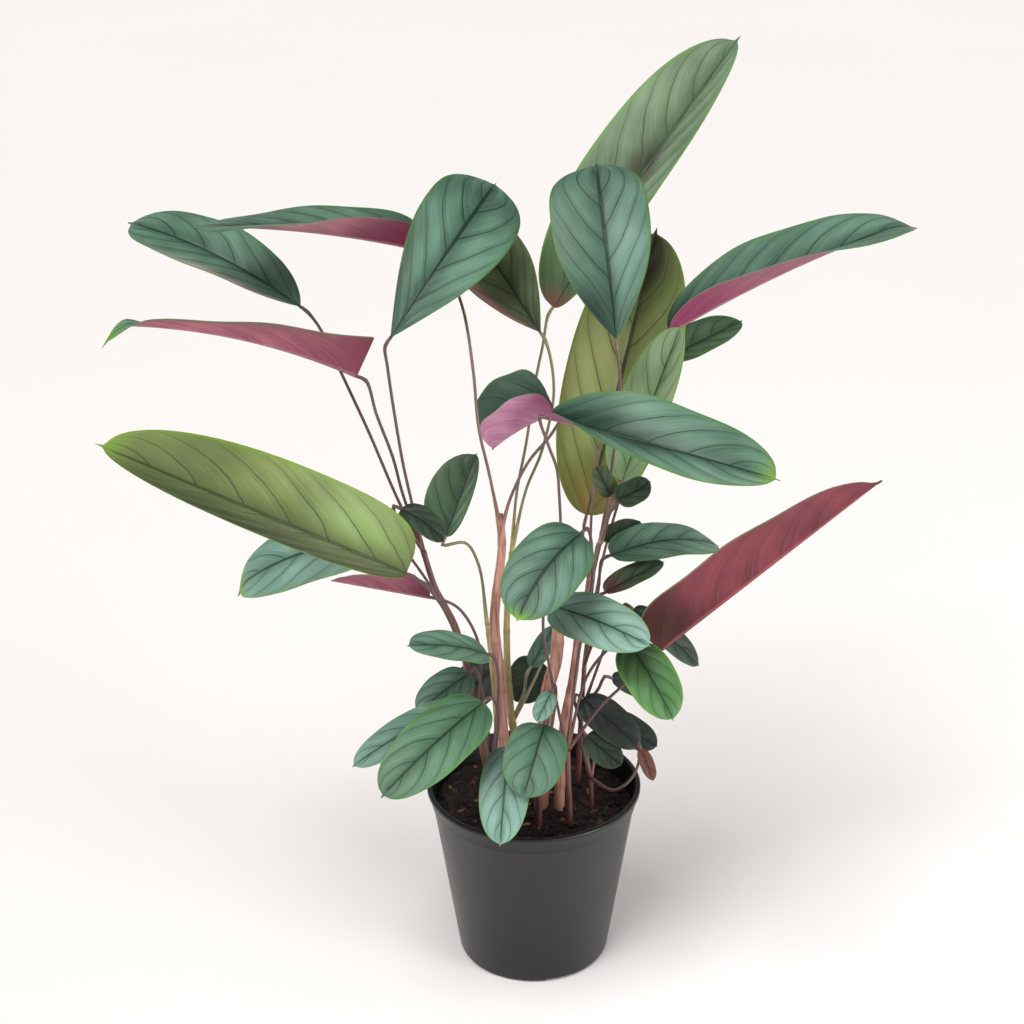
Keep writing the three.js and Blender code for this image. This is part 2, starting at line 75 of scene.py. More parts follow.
def linked(name: str, data: bpy.types.ID) -> bpy.types.Object:
    """Puts new data into the scene as an object at the origin.

    Args:
        name: the object's name.
        data: its mesh, light or camera.

    Returns:
        The object.
    """
    made = bpy.data.objects.new(name, data)
    bpy.context.scene.collection.objects.link(made)
    return made


def only_verts(geom: Iterable[Element]) -> list[bmesh.types.BMVert]:
    """The vertices among what an operator made."""
    return [item for item in geom if isinstance(item, bmesh.types.BMVert)]


def baked(bm: bmesh.types.BMesh, name: str) -> bpy.types.Mesh:
    """Turns a finished bmesh into a mesh and frees it.

    Args:
        bm: the bmesh.
        name: the mesh's name.

    Returns:
        The mesh.
    """
    mesh = bpy.data.meshes.new(name)
    bm.to_mesh(mesh)
    bm.free()
    return mesh


def shaded(mesh: bpy.types.Mesh, crease: float) -> bpy.types.Mesh:
    """Shades a mesh smooth, but for its sharper edges.

    Args:
        mesh: the mesh.
        crease: how far an edge bends before it stays sharp, in degrees.

    Returns:
        The same mesh.
    """
    mesh.polygons.foreach_set("use_smooth", [True] * len(mesh.polygons))
    mesh.set_sharp_from_angle(angle=math.radians(crease))
    return mesh


def seat(name: str, mesh: bpy.types.Mesh, node: str) -> bpy.types.Object:
    """Links a piece at the origin, in place of the solid that it stands for.

    Args:
        name: the piece's name.
        mesh: its mesh, already in place.
        node: the solid's name.

    Returns:
        The piece.
    """
    piece = linked(name, mesh)
    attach(piece, BODY)
    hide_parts(node)
    return piece


def paint(colour: Colour) -> tuple[float, float, float, float]:
    """Turns a screen colour into the linear colour that a shader takes.

    Args:
        colour: red, green and blue, each 0 to 255.

    Returns:
        Linear red, green, blue and an alpha of 1.
    """

    def linear(channel: int) -> float:
        """Undoes the screen's curve on one channel."""
        share = channel / 255
        return share / 12.92 if share <= 0.04045 else ((share + 0.055) / 1.055) ** 2.4

    red, green, blue = (linear(channel) for channel in colour)
    return red, green, blue, 1.0


class Wire:
    """A shader socket that adds Math nodes where it is used in an expression."""

    def __init__(self, graph: "Graph", socket: Optional[bpy.types.NodeSocket]) -> None:
        """Wraps one output socket of a graph."""
        self.graph = graph
        self.socket = socket

    def _math(self, operation: str, *values: Value) -> "Wire":
        """Adds one Math node over the given values."""
        return self.graph.node("ShaderNodeMath", {"operation": operation}, dict(enumerate(values)))

    def __add__(self, other: Value) -> "Wire":
        """self + other."""
        return self._math("ADD", self, other)

    def __radd__(self, other: Value) -> "Wire":
        """other + self."""
        return self._math("ADD", other, self)

    def __sub__(self, other: Value) -> "Wire":
        """self - other."""
        return self._math("SUBTRACT", self, other)

    def __rsub__(self, other: Value) -> "Wire":
        """other - self."""
        return self._math("SUBTRACT", other, self)

    def __mul__(self, other: Value) -> "Wire":
        """self * other."""
        return self._math("MULTIPLY", self, other)

    def __rmul__(self, other: Value) -> "Wire":
        """other * self."""
        return self._math("MULTIPLY", other, self)

    def __pow__(self, other: Value) -> "Wire":
        """self to the power of other."""
        return self._math("POWER", self, other)

    def __gt__(self, other: Value) -> "Wire":
        """1 where self is greater, else 0."""
        return self._math("GREATER_THAN", self, other)

    def __abs__(self) -> "Wire":
        """The size of self without its sign."""
        return self._math("ABSOLUTE", self)

    def fract(self) -> "Wire":
        """What is left of self past the last whole number."""
        return self._math("FRACT", self)

    def ease(self, low: float, high: float) -> "Wire":
        """A smooth step.

        Args:
            low: where it is 0.
            high: where it is 1. It may be less than low.

        Returns:
            The step, from 0 to 1.
        """
        if low > high:
            return 1 - self.ease(high, low)
        settings = {"interpolation_type": "SMOOTHSTEP"}
        return self.graph.node("ShaderNodeMapRange", settings, {0: self, 1: low, 2: high})


class Graph:
    """The node tree of one material, filled through one node-making method."""

    def __init__(self, name: str) -> None:
        """Starts a material with an empty tree.

        Args:
            name: the material's name.
        """
        self.material = bpy.data.materials.new(name)
        self.material.use_nodes = True
        self.tree = self.material.node_tree
        self.tree.nodes.clear()

    def node(
        self,
        kind: str,
        settings: Optional[dict[str, Any]] = None,
        inputs: Optional[dict[Union[int, str], Value]] = None,
        out: Union[int, str] = 0,
    ) -> Wire:
        """Adds a node.

        Args:
            kind: the node's type.
            settings: its settings, which are set first.
            inputs: a value or a wire for each socket that is used.
            out: the output that is wanted.

        Returns:
            That output as a wire.
        """
        made = self.tree.nodes.new(kind)
        for key, value in (settings or {}).items():
            setattr(made, key, value)
        for key, value in (inputs or {}).items():
            if isinstance(value, Wire):
                self.tree.links.new(value.socket, made.inputs[key])
            else:
                made.inputs[key].default_value = value
        return Wire(self, made.outputs[out] if len(made.outputs) else None)

    def part(self, vector: Wire, axis: str) -> Wire:
        """One of the X, Y and Z parts of a vector."""
        return self.node("ShaderNodeSeparateXYZ", None, {0: vector}, axis)

    def vector(self, x: Value, y: Value, z: Value = 0.0) -> Wire:
        """A vector from its three parts."""
        return self.node("ShaderNodeCombineXYZ", None, {0: x, 1: y, 2: z})

    def place(self, scale: Point = (1.0, 1.0, 1.0)) -> Wire:
        """The object's own coordinates, stretched by a scale."""
        spot = self.node("ShaderNodeTexCoord", None, None, "Object")
        return self.node("ShaderNodeMapping", None, {"Vector": spot, "Scale": scale})

    def noise(self, vector: Wire, scale: float, detail: float = 2.0, rough: float = 0.5) -> Wire:
        """Smooth noise from 0 to 1 over a vector."""
        inputs = {"Vector": vector, "Scale": scale, "Detail": detail, "Roughness": rough}
        return self.node("ShaderNodeTexNoise", None, inputs, "Fac")

    def attribute(self, name: str, out: str = "Fac") -> Wire:
        """One of the mesh's own attributes."""
        return self.node("ShaderNodeAttribute", {"attribute_name": name}, None, out)

    def blend(self, first: Value, second: Value, share: Value) -> Wire:
        """Mixes two colours.

        Args:
            first: the colour where share is 0.
            second: the colour where share is 1.
            share: how much of the second shows.

        Returns:
            The mixed colour.
        """
        settings = {"data_type": "RGBA", "clamp_factor": True}
        return self.node("ShaderNodeMix", settings, {0: share, 6: first, 7: second}, 2)

    def coats(self, base: Value, *coats: tuple[Colour, Value]) -> Wire:
        """Lays colours over a base, one after another.

        Args:
            base: the colour under them.
            coats: each colour, with how much of it shows.

        Returns:
            The mixed colour.
        """
        for colour, share in coats:
            base = self.blend(base, paint(colour), share)
        return base

    def finish(
        self,
        base: Value,
        roughness: Value,
        height: Optional[Wire] = None,
        depth: float = 0.001,
        strength: float = 0.6,
        **fixed: float,
    ) -> bpy.types.Material:
        """Ends the tree in one surface shader.

        Args:
            base: the colour.
            roughness: the roughness.
            height: the relief, from 0 to 1, if there is one.
            depth: how deep that relief is, in metres.
            strength: how strongly it shows.
            fixed: constants for other sockets, with _ for a space in their names.

        Returns:
            The finished material.
        """
        inputs: dict[Union[int, str], Value] = {"Base Color": base, "Roughness": roughness}
        if height is not None:
            bump = {"Height": height, "Distance": depth, "Strength": strength}
            inputs["Normal"] = self.node("ShaderNodeBump", None, bump)
        for key, value in fixed.items():
            inputs[key.replace("_", " ")] = value
        surface = self.node("ShaderNodeBsdfPrincipled", None, inputs)
        self.node("ShaderNodeOutputMaterial", None, {"Surface": surface})
        return self.material


class Venation:
    """The feathered vein pattern of a blade, in wires from 0 to 1.

    Attributes:
        along, away: the place from base to tip and from midrib to margin.
        nerves, midrib, margin: the fine lines of the blade.
        shade, cells: painted shade round each vein, and the raised stretch between two.
        streaks, fibres: coarse and fine noise that runs along the veins.
    """

    def __init__(self, graph: Graph) -> None:
        """Lays the pattern out over the blade's own UV map.

        Args:
            graph: the material's graph.
        """
        chart = graph.node("ShaderNodeUVMap", {"uv_map": LEAF_UV})
        across = graph.part(chart, "X") * 2 - 1
        self.along = graph.part(chart, "Y")
        self.away = abs(across)
        waver = graph.noise(graph.place(), scale=30.0)
        straight, curved = VEIN_CURVE
        lean = graph.attribute("lean") * (self.away * straight + self.away**2 * curved)
        phase = (
            graph.attribute("laterals") * (self.along - lean)
            + (across > 0.0) * VEIN_OFFSET
            + waver * VEIN_WAVER
        )
        near = abs(phase.fract() - 0.5) * 2
        ends = self.away.ease(0.99, 0.88) * self.along.ease(0.985, 0.93)
        self.nerves = near.ease(0.91, 0.99) * ends * (self.away.ease(1.0, 0.4) * 0.6 + 0.4)
        self.shade = near.ease(0.35, 1.0) * ends
        self.cells = near.ease(0.95, 0.1)
        coarse = graph.vector(phase * 7, self.away * 1.4)
        fine = graph.vector(phase * 28, self.away * 2.2)
        self.streaks = graph.noise(coarse, scale=1.0, detail=3.0, rough=0.6)
        self.fibres = graph.noise(fine, scale=1.0, rough=0.6)
        self.midrib = self.away.ease(0.06, 0.02) * self.along.ease(0.99, 0.9)
        self.margin = self.away.ease(0.94, 0.98)


@dataclass(frozen=True)
class BladeTop:
    """The upper side of a blade: silvery green between darker feathered veins."""

    name: str
    pale: Colour
    deep: Colour
    vein: Colour
    edge: Colour
    roughness: float = 0.4

    def material(self) -> bpy.types.Material:
        """Makes the material.

        Returns:
            The material.
        """
        graph = Graph(self.name)
        veins = Venation(graph)
        drift = graph.noise(graph.place(), scale=20.0)
        grain = (veins.streaks - 0.5) * 0.9 + (veins.fibres - 0.5) * 0.6
        base = graph.coats(
            paint(self.deep),
            (self.pale, grain + drift * 1.4 - 0.15),
            # Painted shade: a soft dark round each vein, and darker near the midrib and towards the
            # base, where the folded blade shades itself.
            (self.deep, veins.shade * 0.3),
            (self.deep, veins.away.ease(0.45, 0.0) * 0.72),
            (self.deep, veins.along.ease(0.32, 0.0) * 0.65),
            (self.edge, veins.away.ease(0.78, 1.0) * 0.4),
        )
        # The spots: mostly the blade's own colour, and on some blades painted shade, painted shadow
        # and painted highlights.
        spot = graph.attribute("mottle", "Color")
        share = graph.attribute("mottle", "Alpha") * (1.1 - veins.shade * 0.3)
        base = graph.coats(
            graph.blend(base, spot, share),
            (self.vein, veins.nerves * 0.85),
            (self.vein, veins.midrib * 0.9),
            (self.edge, veins.margin * 0.7),
        )
        rough = veins.fibres * 0.2 + (self.roughness - 0.08)
        height = veins.cells * 0.45 + veins.fibres * 0.25
        height = height - veins.midrib * 0.5 - veins.nerves * 0.35
        relief = height + 0.4
        return graph.finish(
            base, rough, relief, depth=0.0007, strength=0.6, Specular_IOR_Level=0.32
        )


@dataclass(frozen=True)
class BladeUnder:
    """The under side of a blade: rosy to wine red, with paler veins."""

    name: str
    light: Colour
    dark: Colour
    vein: Colour
    edge: Colour = (120, 140, 95)

    def material(self) -> bpy.types.Material:
        """Makes the material.

        Returns:
            The material.
        """
        graph = Graph(self.name)
        veins = Venation(graph)
        drift = graph.noise(graph.place(), scale=22.0, detail=3.0)
        grain = (veins.streaks - 0.5) * 0.8 + (veins.fibres - 0.5) * 0.8
        base = graph.coats(
            paint(self.dark),
            (self.light, grain + drift * 1.3 - 0.15),
            # Painted shade: a soft dark round each vein.
            (self.dark, veins.shade * 0.25),
            (self.dark, veins.along.ease(0.4, 0.0) * 0.75),
            (self.vein, veins.nerves * 0.15),
        )
        spot = graph.attribute("mottle", "Color")
        base = graph.coats(
            graph.blend(base, spot, graph.attribute("mottle", "Alpha")),
            (self.vein, veins.midrib * 0.5),
            (self.edge, veins.away.ease(0.965, 0.985) * 0.6),
        )
        height = veins.nerves * 0.5 + veins.fibres * 0.35
        rough = veins.fibres * 0.2 + 0.42
        return graph.finish(
            base, rough, height, depth=0.0006, strength=0.5, Specular_IOR_Level=0.25
        )


@dataclass(frozen=True)
class BarkFinish:
    """The skin of a cane or a leaf stalk, streaked along its length."""

    name: str
    light: Colour
    dark: Colour
    top: Colour
    ring: Colour

    def material(self) -> bpy.types.Material:
        """Makes the material.

        Returns:
            The material.
        """
        graph = Graph(self.name)
        streaks = graph.noise(graph.place((1.0, 1.0, 0.06)), scale=420.0, detail=3.0, rough=0.6)
        patches = graph.noise(graph.place((1.0, 1.0, 0.5)), scale=34.0)
        base = graph.coats(
            paint(self.dark),
            (self.light, streaks * 1.8 + patches * 1.2 - 1.05),
            (self.top, graph.attribute("reach").ease(0.2, 0.5) * 0.9),
            (self.ring, graph.attribute("ring") * 0.3),
        )
        rough = patches * 0.2 + 0.32
        return graph.finish(base, rough, streaks, depth=0.0002, strength=0.35, Coat_Weight=0.1)


@dataclass(frozen=True)
class PotPlastic:
    """Charcoal moulded plastic with a fine satin grain and light handling wear."""

    name: str = "charcoal_plastic"
    body: Colour = (15, 19, 19)
    worn: Colour = (31, 36, 35)

    def material(self) -> bpy.types.Material:
        """Makes the material.

        Returns:
            The material.
        """
        graph = Graph(self.name)
        grain = graph.noise(graph.place(), scale=1400.0)
        cloud = graph.noise(graph.place((1.0, 1.0, 0.4)), scale=18.0, detail=3.0)
        marks = graph.noise(graph.place((1.0, 1.0, 6.0)), scale=90.0, detail=4.0, rough=0.7)
        scuffs = marks.ease(0.62, 0.78)
        height = graph.part(graph.place(), "Z")
        dust = height.ease(0.02, 0.0) * 0.35
        base = graph.coats(paint(self.body), (self.worn, cloud * 0.35 + scuffs * 0.25 + dust))
        rough = cloud * 0.14 + scuffs * 0.12 + 0.28
        relief = grain * 0.6 + cloud * 0.4
        return graph.finish(
            base, rough, relief, depth=0.0002, strength=0.35, Specular_IOR_Level=0.36
        )


@dataclass(frozen=True)
class PeatMix:
    """Moist peat with reddish bark chips and a few pale fibres."""

    name: str = "peat_mix"
    wet: Colour = (14, 9, 7)
    dry: Colour = (46, 31, 23)
    chip: Colour = (80, 50, 36)
    fibre: Colour = (150, 118, 88)

    def material(self) -> bpy.types.Material:
        """Makes the material.

        Returns:
            The material.
        """
        graph = Graph(self.name)
        crumbs = graph.noise(graph.place(), scale=260.0, detail=5.0, rough=0.65)
        damp = graph.noise(graph.place(), scale=32.0)
        kind = graph.attribute("chip")
        base = graph.coats(
            paint(self.wet),
            (self.dry, crumbs.ease(0.42, 0.72) * (0.3 + damp)),
            (self.chip, kind.ease(0.66, 0.86) * (0.35 + crumbs * 0.7)),
            (self.fibre, kind.ease(0.93, 0.97) * 0.6),
        )
        return graph.finish(base, damp * 0.3 + 0.6, crumbs, depth=0.0016, strength=0.9)


@dataclass(frozen=True)
class StudioFloor:
    """A warm white matt sweep with a barely seen mottle."""

    name: str = "studio_floor"
    light: Colour = (245, 243, 242)
    shade: Colour = (242, 239, 238)

    def material(self) -> bpy.types.Material:
        """Makes the material.

        Returns:
            The material.
        """
        graph = Graph(self.name)
        cloud = graph.noise(graph.place(), scale=1.5, detail=3.0)
        base = graph.coats(paint(self.light), (self.shade, cloud))
        return graph.finish(base, roughness=0.8)


class Top(Enum):
    """The upper sides that the blades have."""

    SILVER = BladeTop("blade_silver", (114, 152, 132), (48, 80, 64), (14, 46, 32), (78, 120, 62))
    FROST = BladeTop("blade_frost", (142, 180, 166), (74, 112, 96), (20, 56, 40), (100, 144, 84))
    TEAL = BladeTop("blade_teal", (106, 144, 124), (36, 64, 50), (9, 36, 25), (66, 108, 54))
    GREEN = BladeTop("blade_green", (104, 146, 114), (46, 80, 56), (12, 42, 24), (78, 128, 58))
    DEEP = BladeTop("blade_deep", (80, 114, 82), (36, 60, 40), (16, 36, 24), (66, 106, 48))
    SHADE = BladeTop("blade_shade", (60, 80, 62), (24, 38, 30), (12, 22, 17), (54, 80, 42))
    MOSS = BladeTop("blade_moss", (92, 112, 78), (46, 58, 34), (22, 32, 18), (78, 98, 44))
    OLIVE = BladeTop("blade_olive", (138, 156, 90), (80, 94, 46), (40, 54, 24), (106, 140, 36))
    # Partly painted backlight: the two lighter greens below stand for blades that light shines
    # through, over their own green.
    PALE_BACKLIT = BladeTop("blade_pale", (116, 142, 110), (62, 88, 58), (40, 64, 36), (92, 134, 54))
    SHEER_BACKLIT = BladeTop("blade_sheer", (164, 190, 150), (100, 130, 86), (56, 84, 46), (118, 156, 70))
    BRIGHT = BladeTop("blade_bright", (98, 142, 90), (46, 84, 42), (24, 56, 26), (96, 148, 44))
    DRY = BladeTop("blade_dry", (140, 96, 82), (84, 54, 46), (56, 36, 32), (110, 76, 60), 0.7)


class Under(Enum):
    """The under sides that the blades have."""

    ROSY = BladeUnder("under_rosy", (190, 120, 135), (110, 50, 70), (190, 138, 146))
    PINK = BladeUnder("under_pink", (218, 168, 192), (150, 76, 114), (214, 172, 186))
    WINE = BladeUnder("under_wine", (140, 64, 76), (80, 32, 42), (160, 88, 92))


class Bark(Enum):
    """The skins that the shoots have."""

    CANE = BarkFinish("cane_red", (208, 160, 138), (104, 54, 48), (98, 80, 72), (92, 50, 40))
    LIME = BarkFinish("cane_lime", (204, 196, 130), (134, 124, 72), (110, 114, 84), (112, 80, 50))
    STALK = BarkFinish("stalk_red", (128, 84, 78), (70, 40, 40), (84, 62, 62), (80, 46, 42))


@dataclass(frozen=True)
class Patch:
    """A soft spot of another colour on one side of a blade, placed across and along it; some are
    painted shade and highlights.
    """

    at: tuple[float, float]
    reach: tuple[float, float]
    colour: Colour
    strength: float

    def share(self, across: float, along: float) -> float:
        """How much of the spot shows at a place on the blade.

        Args:
            across: -1 at one margin, 0 on the midrib, 1 at the other.
            along: 0 at the base, 1 at the tip.

        Returns:
            The share, from 0 to the spot's strength.
        """
        sideways = (across - self.at[0]) / self.reach[0]
        onwards = (along - self.at[1]) / self.reach[1]
        return self.strength * math.exp(-(sideways**2) - onwards**2)


def band(along: float, reach: float, colour: Colour, strength: float) -> Patch:
    """A spot that runs right across a blade."""
    return Patch((0.0, along), (3.0, reach), colour, strength)


GREEN_TIP = band(1.0, 0.075, (112, 158, 42), 0.95)
LOW_SHADE = band(0.3, 1.0, (26, 28, 34), 0.7)
DRY_TIP = band(1.0, 0.05, (118, 104, 96), 0.95)


@dataclass(frozen=True)
class Blade:
    """One leaf blade.

    Attributes:
        base, tip: the ends of its midrib.
        width: its width.
        face: the way that its upper side looks.
        fold, fold_tip: how far each half is raised at the base and at the tip, in degrees.
        bend, sway: how far the midrib arches up and sideways, as a share of the length.
        skew: how much wider one half is than the other.
        wide, square, point, shift: where it is widest, how full, how pointed and how uneven.
        ease: how soon the fold opens.
        droop, turn: how far the tip hangs, and turns in degrees.
        top, under: the finishes of its sides.
        patches, stains: the spots on its upper and its under side; some patches are painted shade
            and highlights.

    The constants are the same for every blade:

        CURL: how far the margins curl down, in degrees.
        RIPPLE, RIPPLES: the height, as a share of the width, and the number of a margin's waves.
        QUILT: the height of the swelling between two veins, as a share of the width.
        THICKNESS, THIN_EDGE: the thickness in millimetres, and the share lost at the margin.
        VEINS, VEIN_SPACE: the veins of the shortest blade, and the millimetres for each more.
        LEAN, MOST_LEAN: how far a vein runs forward for the blade's width, and at most.
        BODY_END, POINT_FROM: where the round outline ends, and where the drawn-out tip begins.
        DROOP_FROM, TURN_FROM: where the droop and the turn begin.
        STEM_WIDTH, STEM_LOSS: the least half width at the base in millimetres, and how much less
            it is at the tip.
    """

    name: str
    base: Point
    tip: Point
    width: float
    face: Point
    fold: float = 8.0
    fold_tip: float = 6.0
    bend: float = 0.0
    sway: float = 0.0
    skew: float = 0.0
    wide: float = 0.85
    square: float = 2.5
    point: float = 0.16
    ease: float = 1.0
    shift: float = 0.0
    droop: float = 0.0
    turn: float = 0.0
    top: Top = Top.SILVER
    under: Under = Under.ROSY
    patches: tuple[Patch, ...] = ()
    stains: tuple[Patch, ...] = ()

    CURL = 12.0
    RIPPLE = 0.012
    RIPPLES = 2.5
    QUILT = 0.024
    THICKNESS = 0.66
    THIN_EDGE = 0.45
    VEINS = 2.2
    VEIN_SPACE = 52
    LEAN = 0.95
    MOST_LEAN = 0.52
    BODY_END = 0.975
    POINT_FROM = 0.9
    DROOP_FROM = 0.88
    TURN_FROM = 0.82
    STEM_WIDTH = 1.1
    STEM_LOSS = 0.9

    @property
    def length(self) -> float:
        """The distance from base to tip."""
        return (Vector(self.tip) - Vector(self.base)).length

    @property
    def laterals(self) -> float:
        """How many veins leave each side of the midrib."""
        return self.VEINS + self.length / self.VEIN_SPACE

    @property
    def lean(self) -> float:
        """How far a vein has run towards the tip when it meets the margin."""
        wide = self.width * (1 + abs(self.skew))
        return min(self.MOST_LEAN, self.LEAN * wide / self.length)

    def outline(self, t: float, hand: float) -> float:
        """The blade's outline.

        Args:
            t: the share of the length, from the base.
            hand: -1 for one half of the blade, 1 for the other.

        Returns:
            Half the width there, as a share of the widest.
        """
        along = min(t / self.BODY_END, 1.0) ** (self.wide * (1 + hand * self.shift))
        body = math.sqrt(max(0.0, 1 - abs(2 * along - 1) ** self.square))
        left = (1 - t) / (1 - self.POINT_FROM)
        point = self.point * left if t > self.POINT_FROM else 0.0
        return max(body, point)

    def spine(self, t: float) -> tuple[Vector, Vector, Vector, Vector]:
        """The midrib at t.

        Args:
            t: the share of the length, from the base.

        Returns:
            The place, and the ways along, up and sideways there.
        """
        base, tip, face = Vector(self.base), Vector(self.tip), Vector(self.face)
        chord = tip - base
        ahead = chord.normalized()
        out = (face - ahead * face.dot(ahead)).normalized()
        side = out.cross(ahead)
        bend, sway = self.bend * self.length, self.sway * self.length
        arch = 4 * t * (1 - t)
        place = base + chord * t + out * (arch * bend) + side * (arch * sway)
        slope = 4 * (1 - 2 * t)
        tangent = (chord + out * (slope * bend) + side * (slope * sway)).normalized()
        up = (out - tangent * out.dot(tangent)).normalized()
        place.z -= self.droop * max(0.0, (t - self.DROOP_FROM) / (1 - self.DROOP_FROM)) ** 2
        twist = max(0.0, (t - self.TURN_FROM) / (1 - self.TURN_FROM))
        up = Quaternion(tangent, math.radians(self.turn) * twist**2 * (3 - 2 * twist)) @ up
        return place, tangent, up, up.cross(tangent)

    def phase(self, across: float, t: float) -> float:
        """Where a place on the blade lies among its lateral veins, as the finishes have it.

        Args:
            across: -1 at one margin, 0 on the midrib, 1 at the other.
            t: the share of the length, from the base.

        Returns:
            A number that grows by 1 from each vein to the next.
        """
        away = abs(across)
        straight, curved = VEIN_CURVE
        onwards = self.laterals * (t - self.lean * (straight * away + curved * away**2))
        return onwards + (VEIN_OFFSET if across > 0 else 0.0) + VEIN_WAVER / 2

    def surface(self, across: float, t: float, upper: bool) -> Vector:
        """A point on one side of the blade.

        Args:
            across: -1 at one margin, 0 on the midrib, 1 at the other.
            t: the share of the length, from the base.
            upper: whether it is on the upper side.

        Returns:
            The point, in millimetres.
        """
        place, _, up, side = self.spine(t)
        opened = 1 - (1 - t) ** self.ease
        fold = math.radians(self.fold + (self.fold_tip - self.fold) * opened)
        hand = math.copysign(1.0, across) if across else 0.0
        away = abs(across)
        half = self.width / 2 * (1 + hand * self.skew) * self.outline(t, hand)
        half = max(half, self.STEM_WIDTH - self.STEM_LOSS * t**4)
        lift = fold - math.radians(self.CURL) * away
        middle = fold - math.radians(self.CURL) * away / 2
        ripple = self.RIPPLE * self.width * away**2
        ripple *= math.sin(2 * math.pi * (self.RIPPLES * t + (0.3 if hand > 0 else 0.0)))
        quilt = 0.5 - 0.5 * math.cos(2 * math.pi * self.phase(across, t))
        relief = self.QUILT * self.width * quilt * math.sqrt(max(0.0, away * (1 - away)))
        relief *= min(1.0, (1 - t) / 0.14, t / 0.08)
        point = place + side * (hand * half * away * math.cos(middle))
        point += up * (half * away * math.sin(middle) + ripple)
        normal = (up * math.cos(lift) - side * (hand * math.sin(lift))) if away else up
        skin = self.THICKNESS / 2 * (1 - self.THIN_EDGE * away**6)
        if upper:
            groove = 0.3 * math.exp(-((away / 0.05) ** 2)) * (1 - t)
            return point + normal * (skin + relief - groove)
        ridge = (0.95 - 0.75 * t) * math.exp(-((away / 0.04) ** 2))
        return point - normal * (skin + ridge - relief)


@dataclass(frozen=True)
class BladeMaker:
    """Grows a blade's mesh from a flat grid that gets a second skin.

    Attributes:
        row_step: the length of a row of faces, in millimetres.
        fewest_rows, most_rows: the limits of their number.
        columns: the faces across the blade.
        midrib_pull, end_pull: how much closer they lie at the midrib and at the two ends.
        faint: the share below which no spot shows.
    """

    row_step: float = 3.2
    fewest_rows: int = 22
    most_rows: int = 76
    columns: int = 18
    midrib_pull: float = 1.35
    end_pull: float = 0.6
    faint: float = 1e-9

    def rows(self, blade: Blade) -> int:
        """How many rows of faces the blade has."""
        return round(min(self.most_rows, max(self.fewest_rows, blade.length / self.row_step)))

    def mesh(self, blade: Blade) -> bpy.types.Mesh:
        """Makes the mesh.

        Args:
            blade: the blade's sizes.

        Returns:
            A closed mesh with its UV map and the attributes that its finishes read.
        """
        bm = bmesh.new()
        bmesh.ops.create_grid(bm, x_segments=self.columns, y_segments=self.rows(blade), size=1.0)
        chart = bm.loops.layers.uv.new(LEAF_UV)
        mottle = bm.verts.layers.float_color.new("mottle")
        laterals = bm.verts.layers.float.new("laterals")
        lean = bm.verts.layers.float.new("lean")
        skin = bm.verts.layers.int.new("skin")
        grown = bmesh.ops.extrude_face_region(bm, geom=bm.faces[:], use_keep_orig=True)
        for vert in only_verts(grown["geom"]):
            vert[skin] = 1
        for face in bm.faces:
            sides = {vert[skin] for vert in face.verts}
            face.material_index = 0 if 1 in sides else 1
            face.smooth = True
            if len(sides) == 2:
                for edge in face.edges:
                    edge.smooth = len({vert[skin] for vert in edge.verts}) == 2
            for loop in face.loops:
                across, t = self.spread(loop.vert.co)
                loop[chart].uv = (across / 2 + 0.5, t)
        for vert in bm.verts:
            across, t = self.spread(vert.co)
            spots = blade.patches if vert[skin] == 1 else blade.stains
            vert[mottle] = self.mottle(spots, across, t)
            vert[laterals] = blade.laterals
            vert[lean] = blade.lean
            vert.co = blade.surface(across, t, vert[skin] == 1) * MM
        bmesh.ops.recalc_face_normals(bm, faces=bm.faces[:])
        return baked(bm, blade.name)

    def spread(self, spot: Vector) -> tuple[float, float]:
        """Turns a place on the flat grid into a place on the blade.

        Args:
            spot: the place on the grid, which goes from -1 to 1.

        Returns:
            How far it is across and along the blade.
        """
        across = math.copysign(abs(spot.x) ** self.midrib_pull, spot.x)
        x = (1 - spot.y) / 2
        return across, x - self.end_pull * math.sin(2 * math.pi * x) / (2 * math.pi)

    def mottle(self, spots: Sequence[Patch], across: float, t: float) -> tuple[float, ...]:
        """Mixes the spots that reach a place.

        Args:
            spots: the spots of one side of the blade.
            across: -1 at one margin, 0 on the midrib, 1 at the other.
            t: the share of the length, from the base.

        Returns:
            Their mixed colour, with how much of it shows as alpha.
        """
        shares = [spot.share(across, t) for spot in spots]
        total = sum(share**2 for share in shares)
        if total < self.faint:
            return 0.0, 0.0, 0.0, 0.0
        mixed = [0.0, 0.0, 0.0]
        for spot, share in zip(spots, shares):
            for channel, value in enumerate(paint(spot.colour)[:3]):
                mixed[channel] += value * share**2 / total
        return (*mixed, min(1.0, max(shares)))


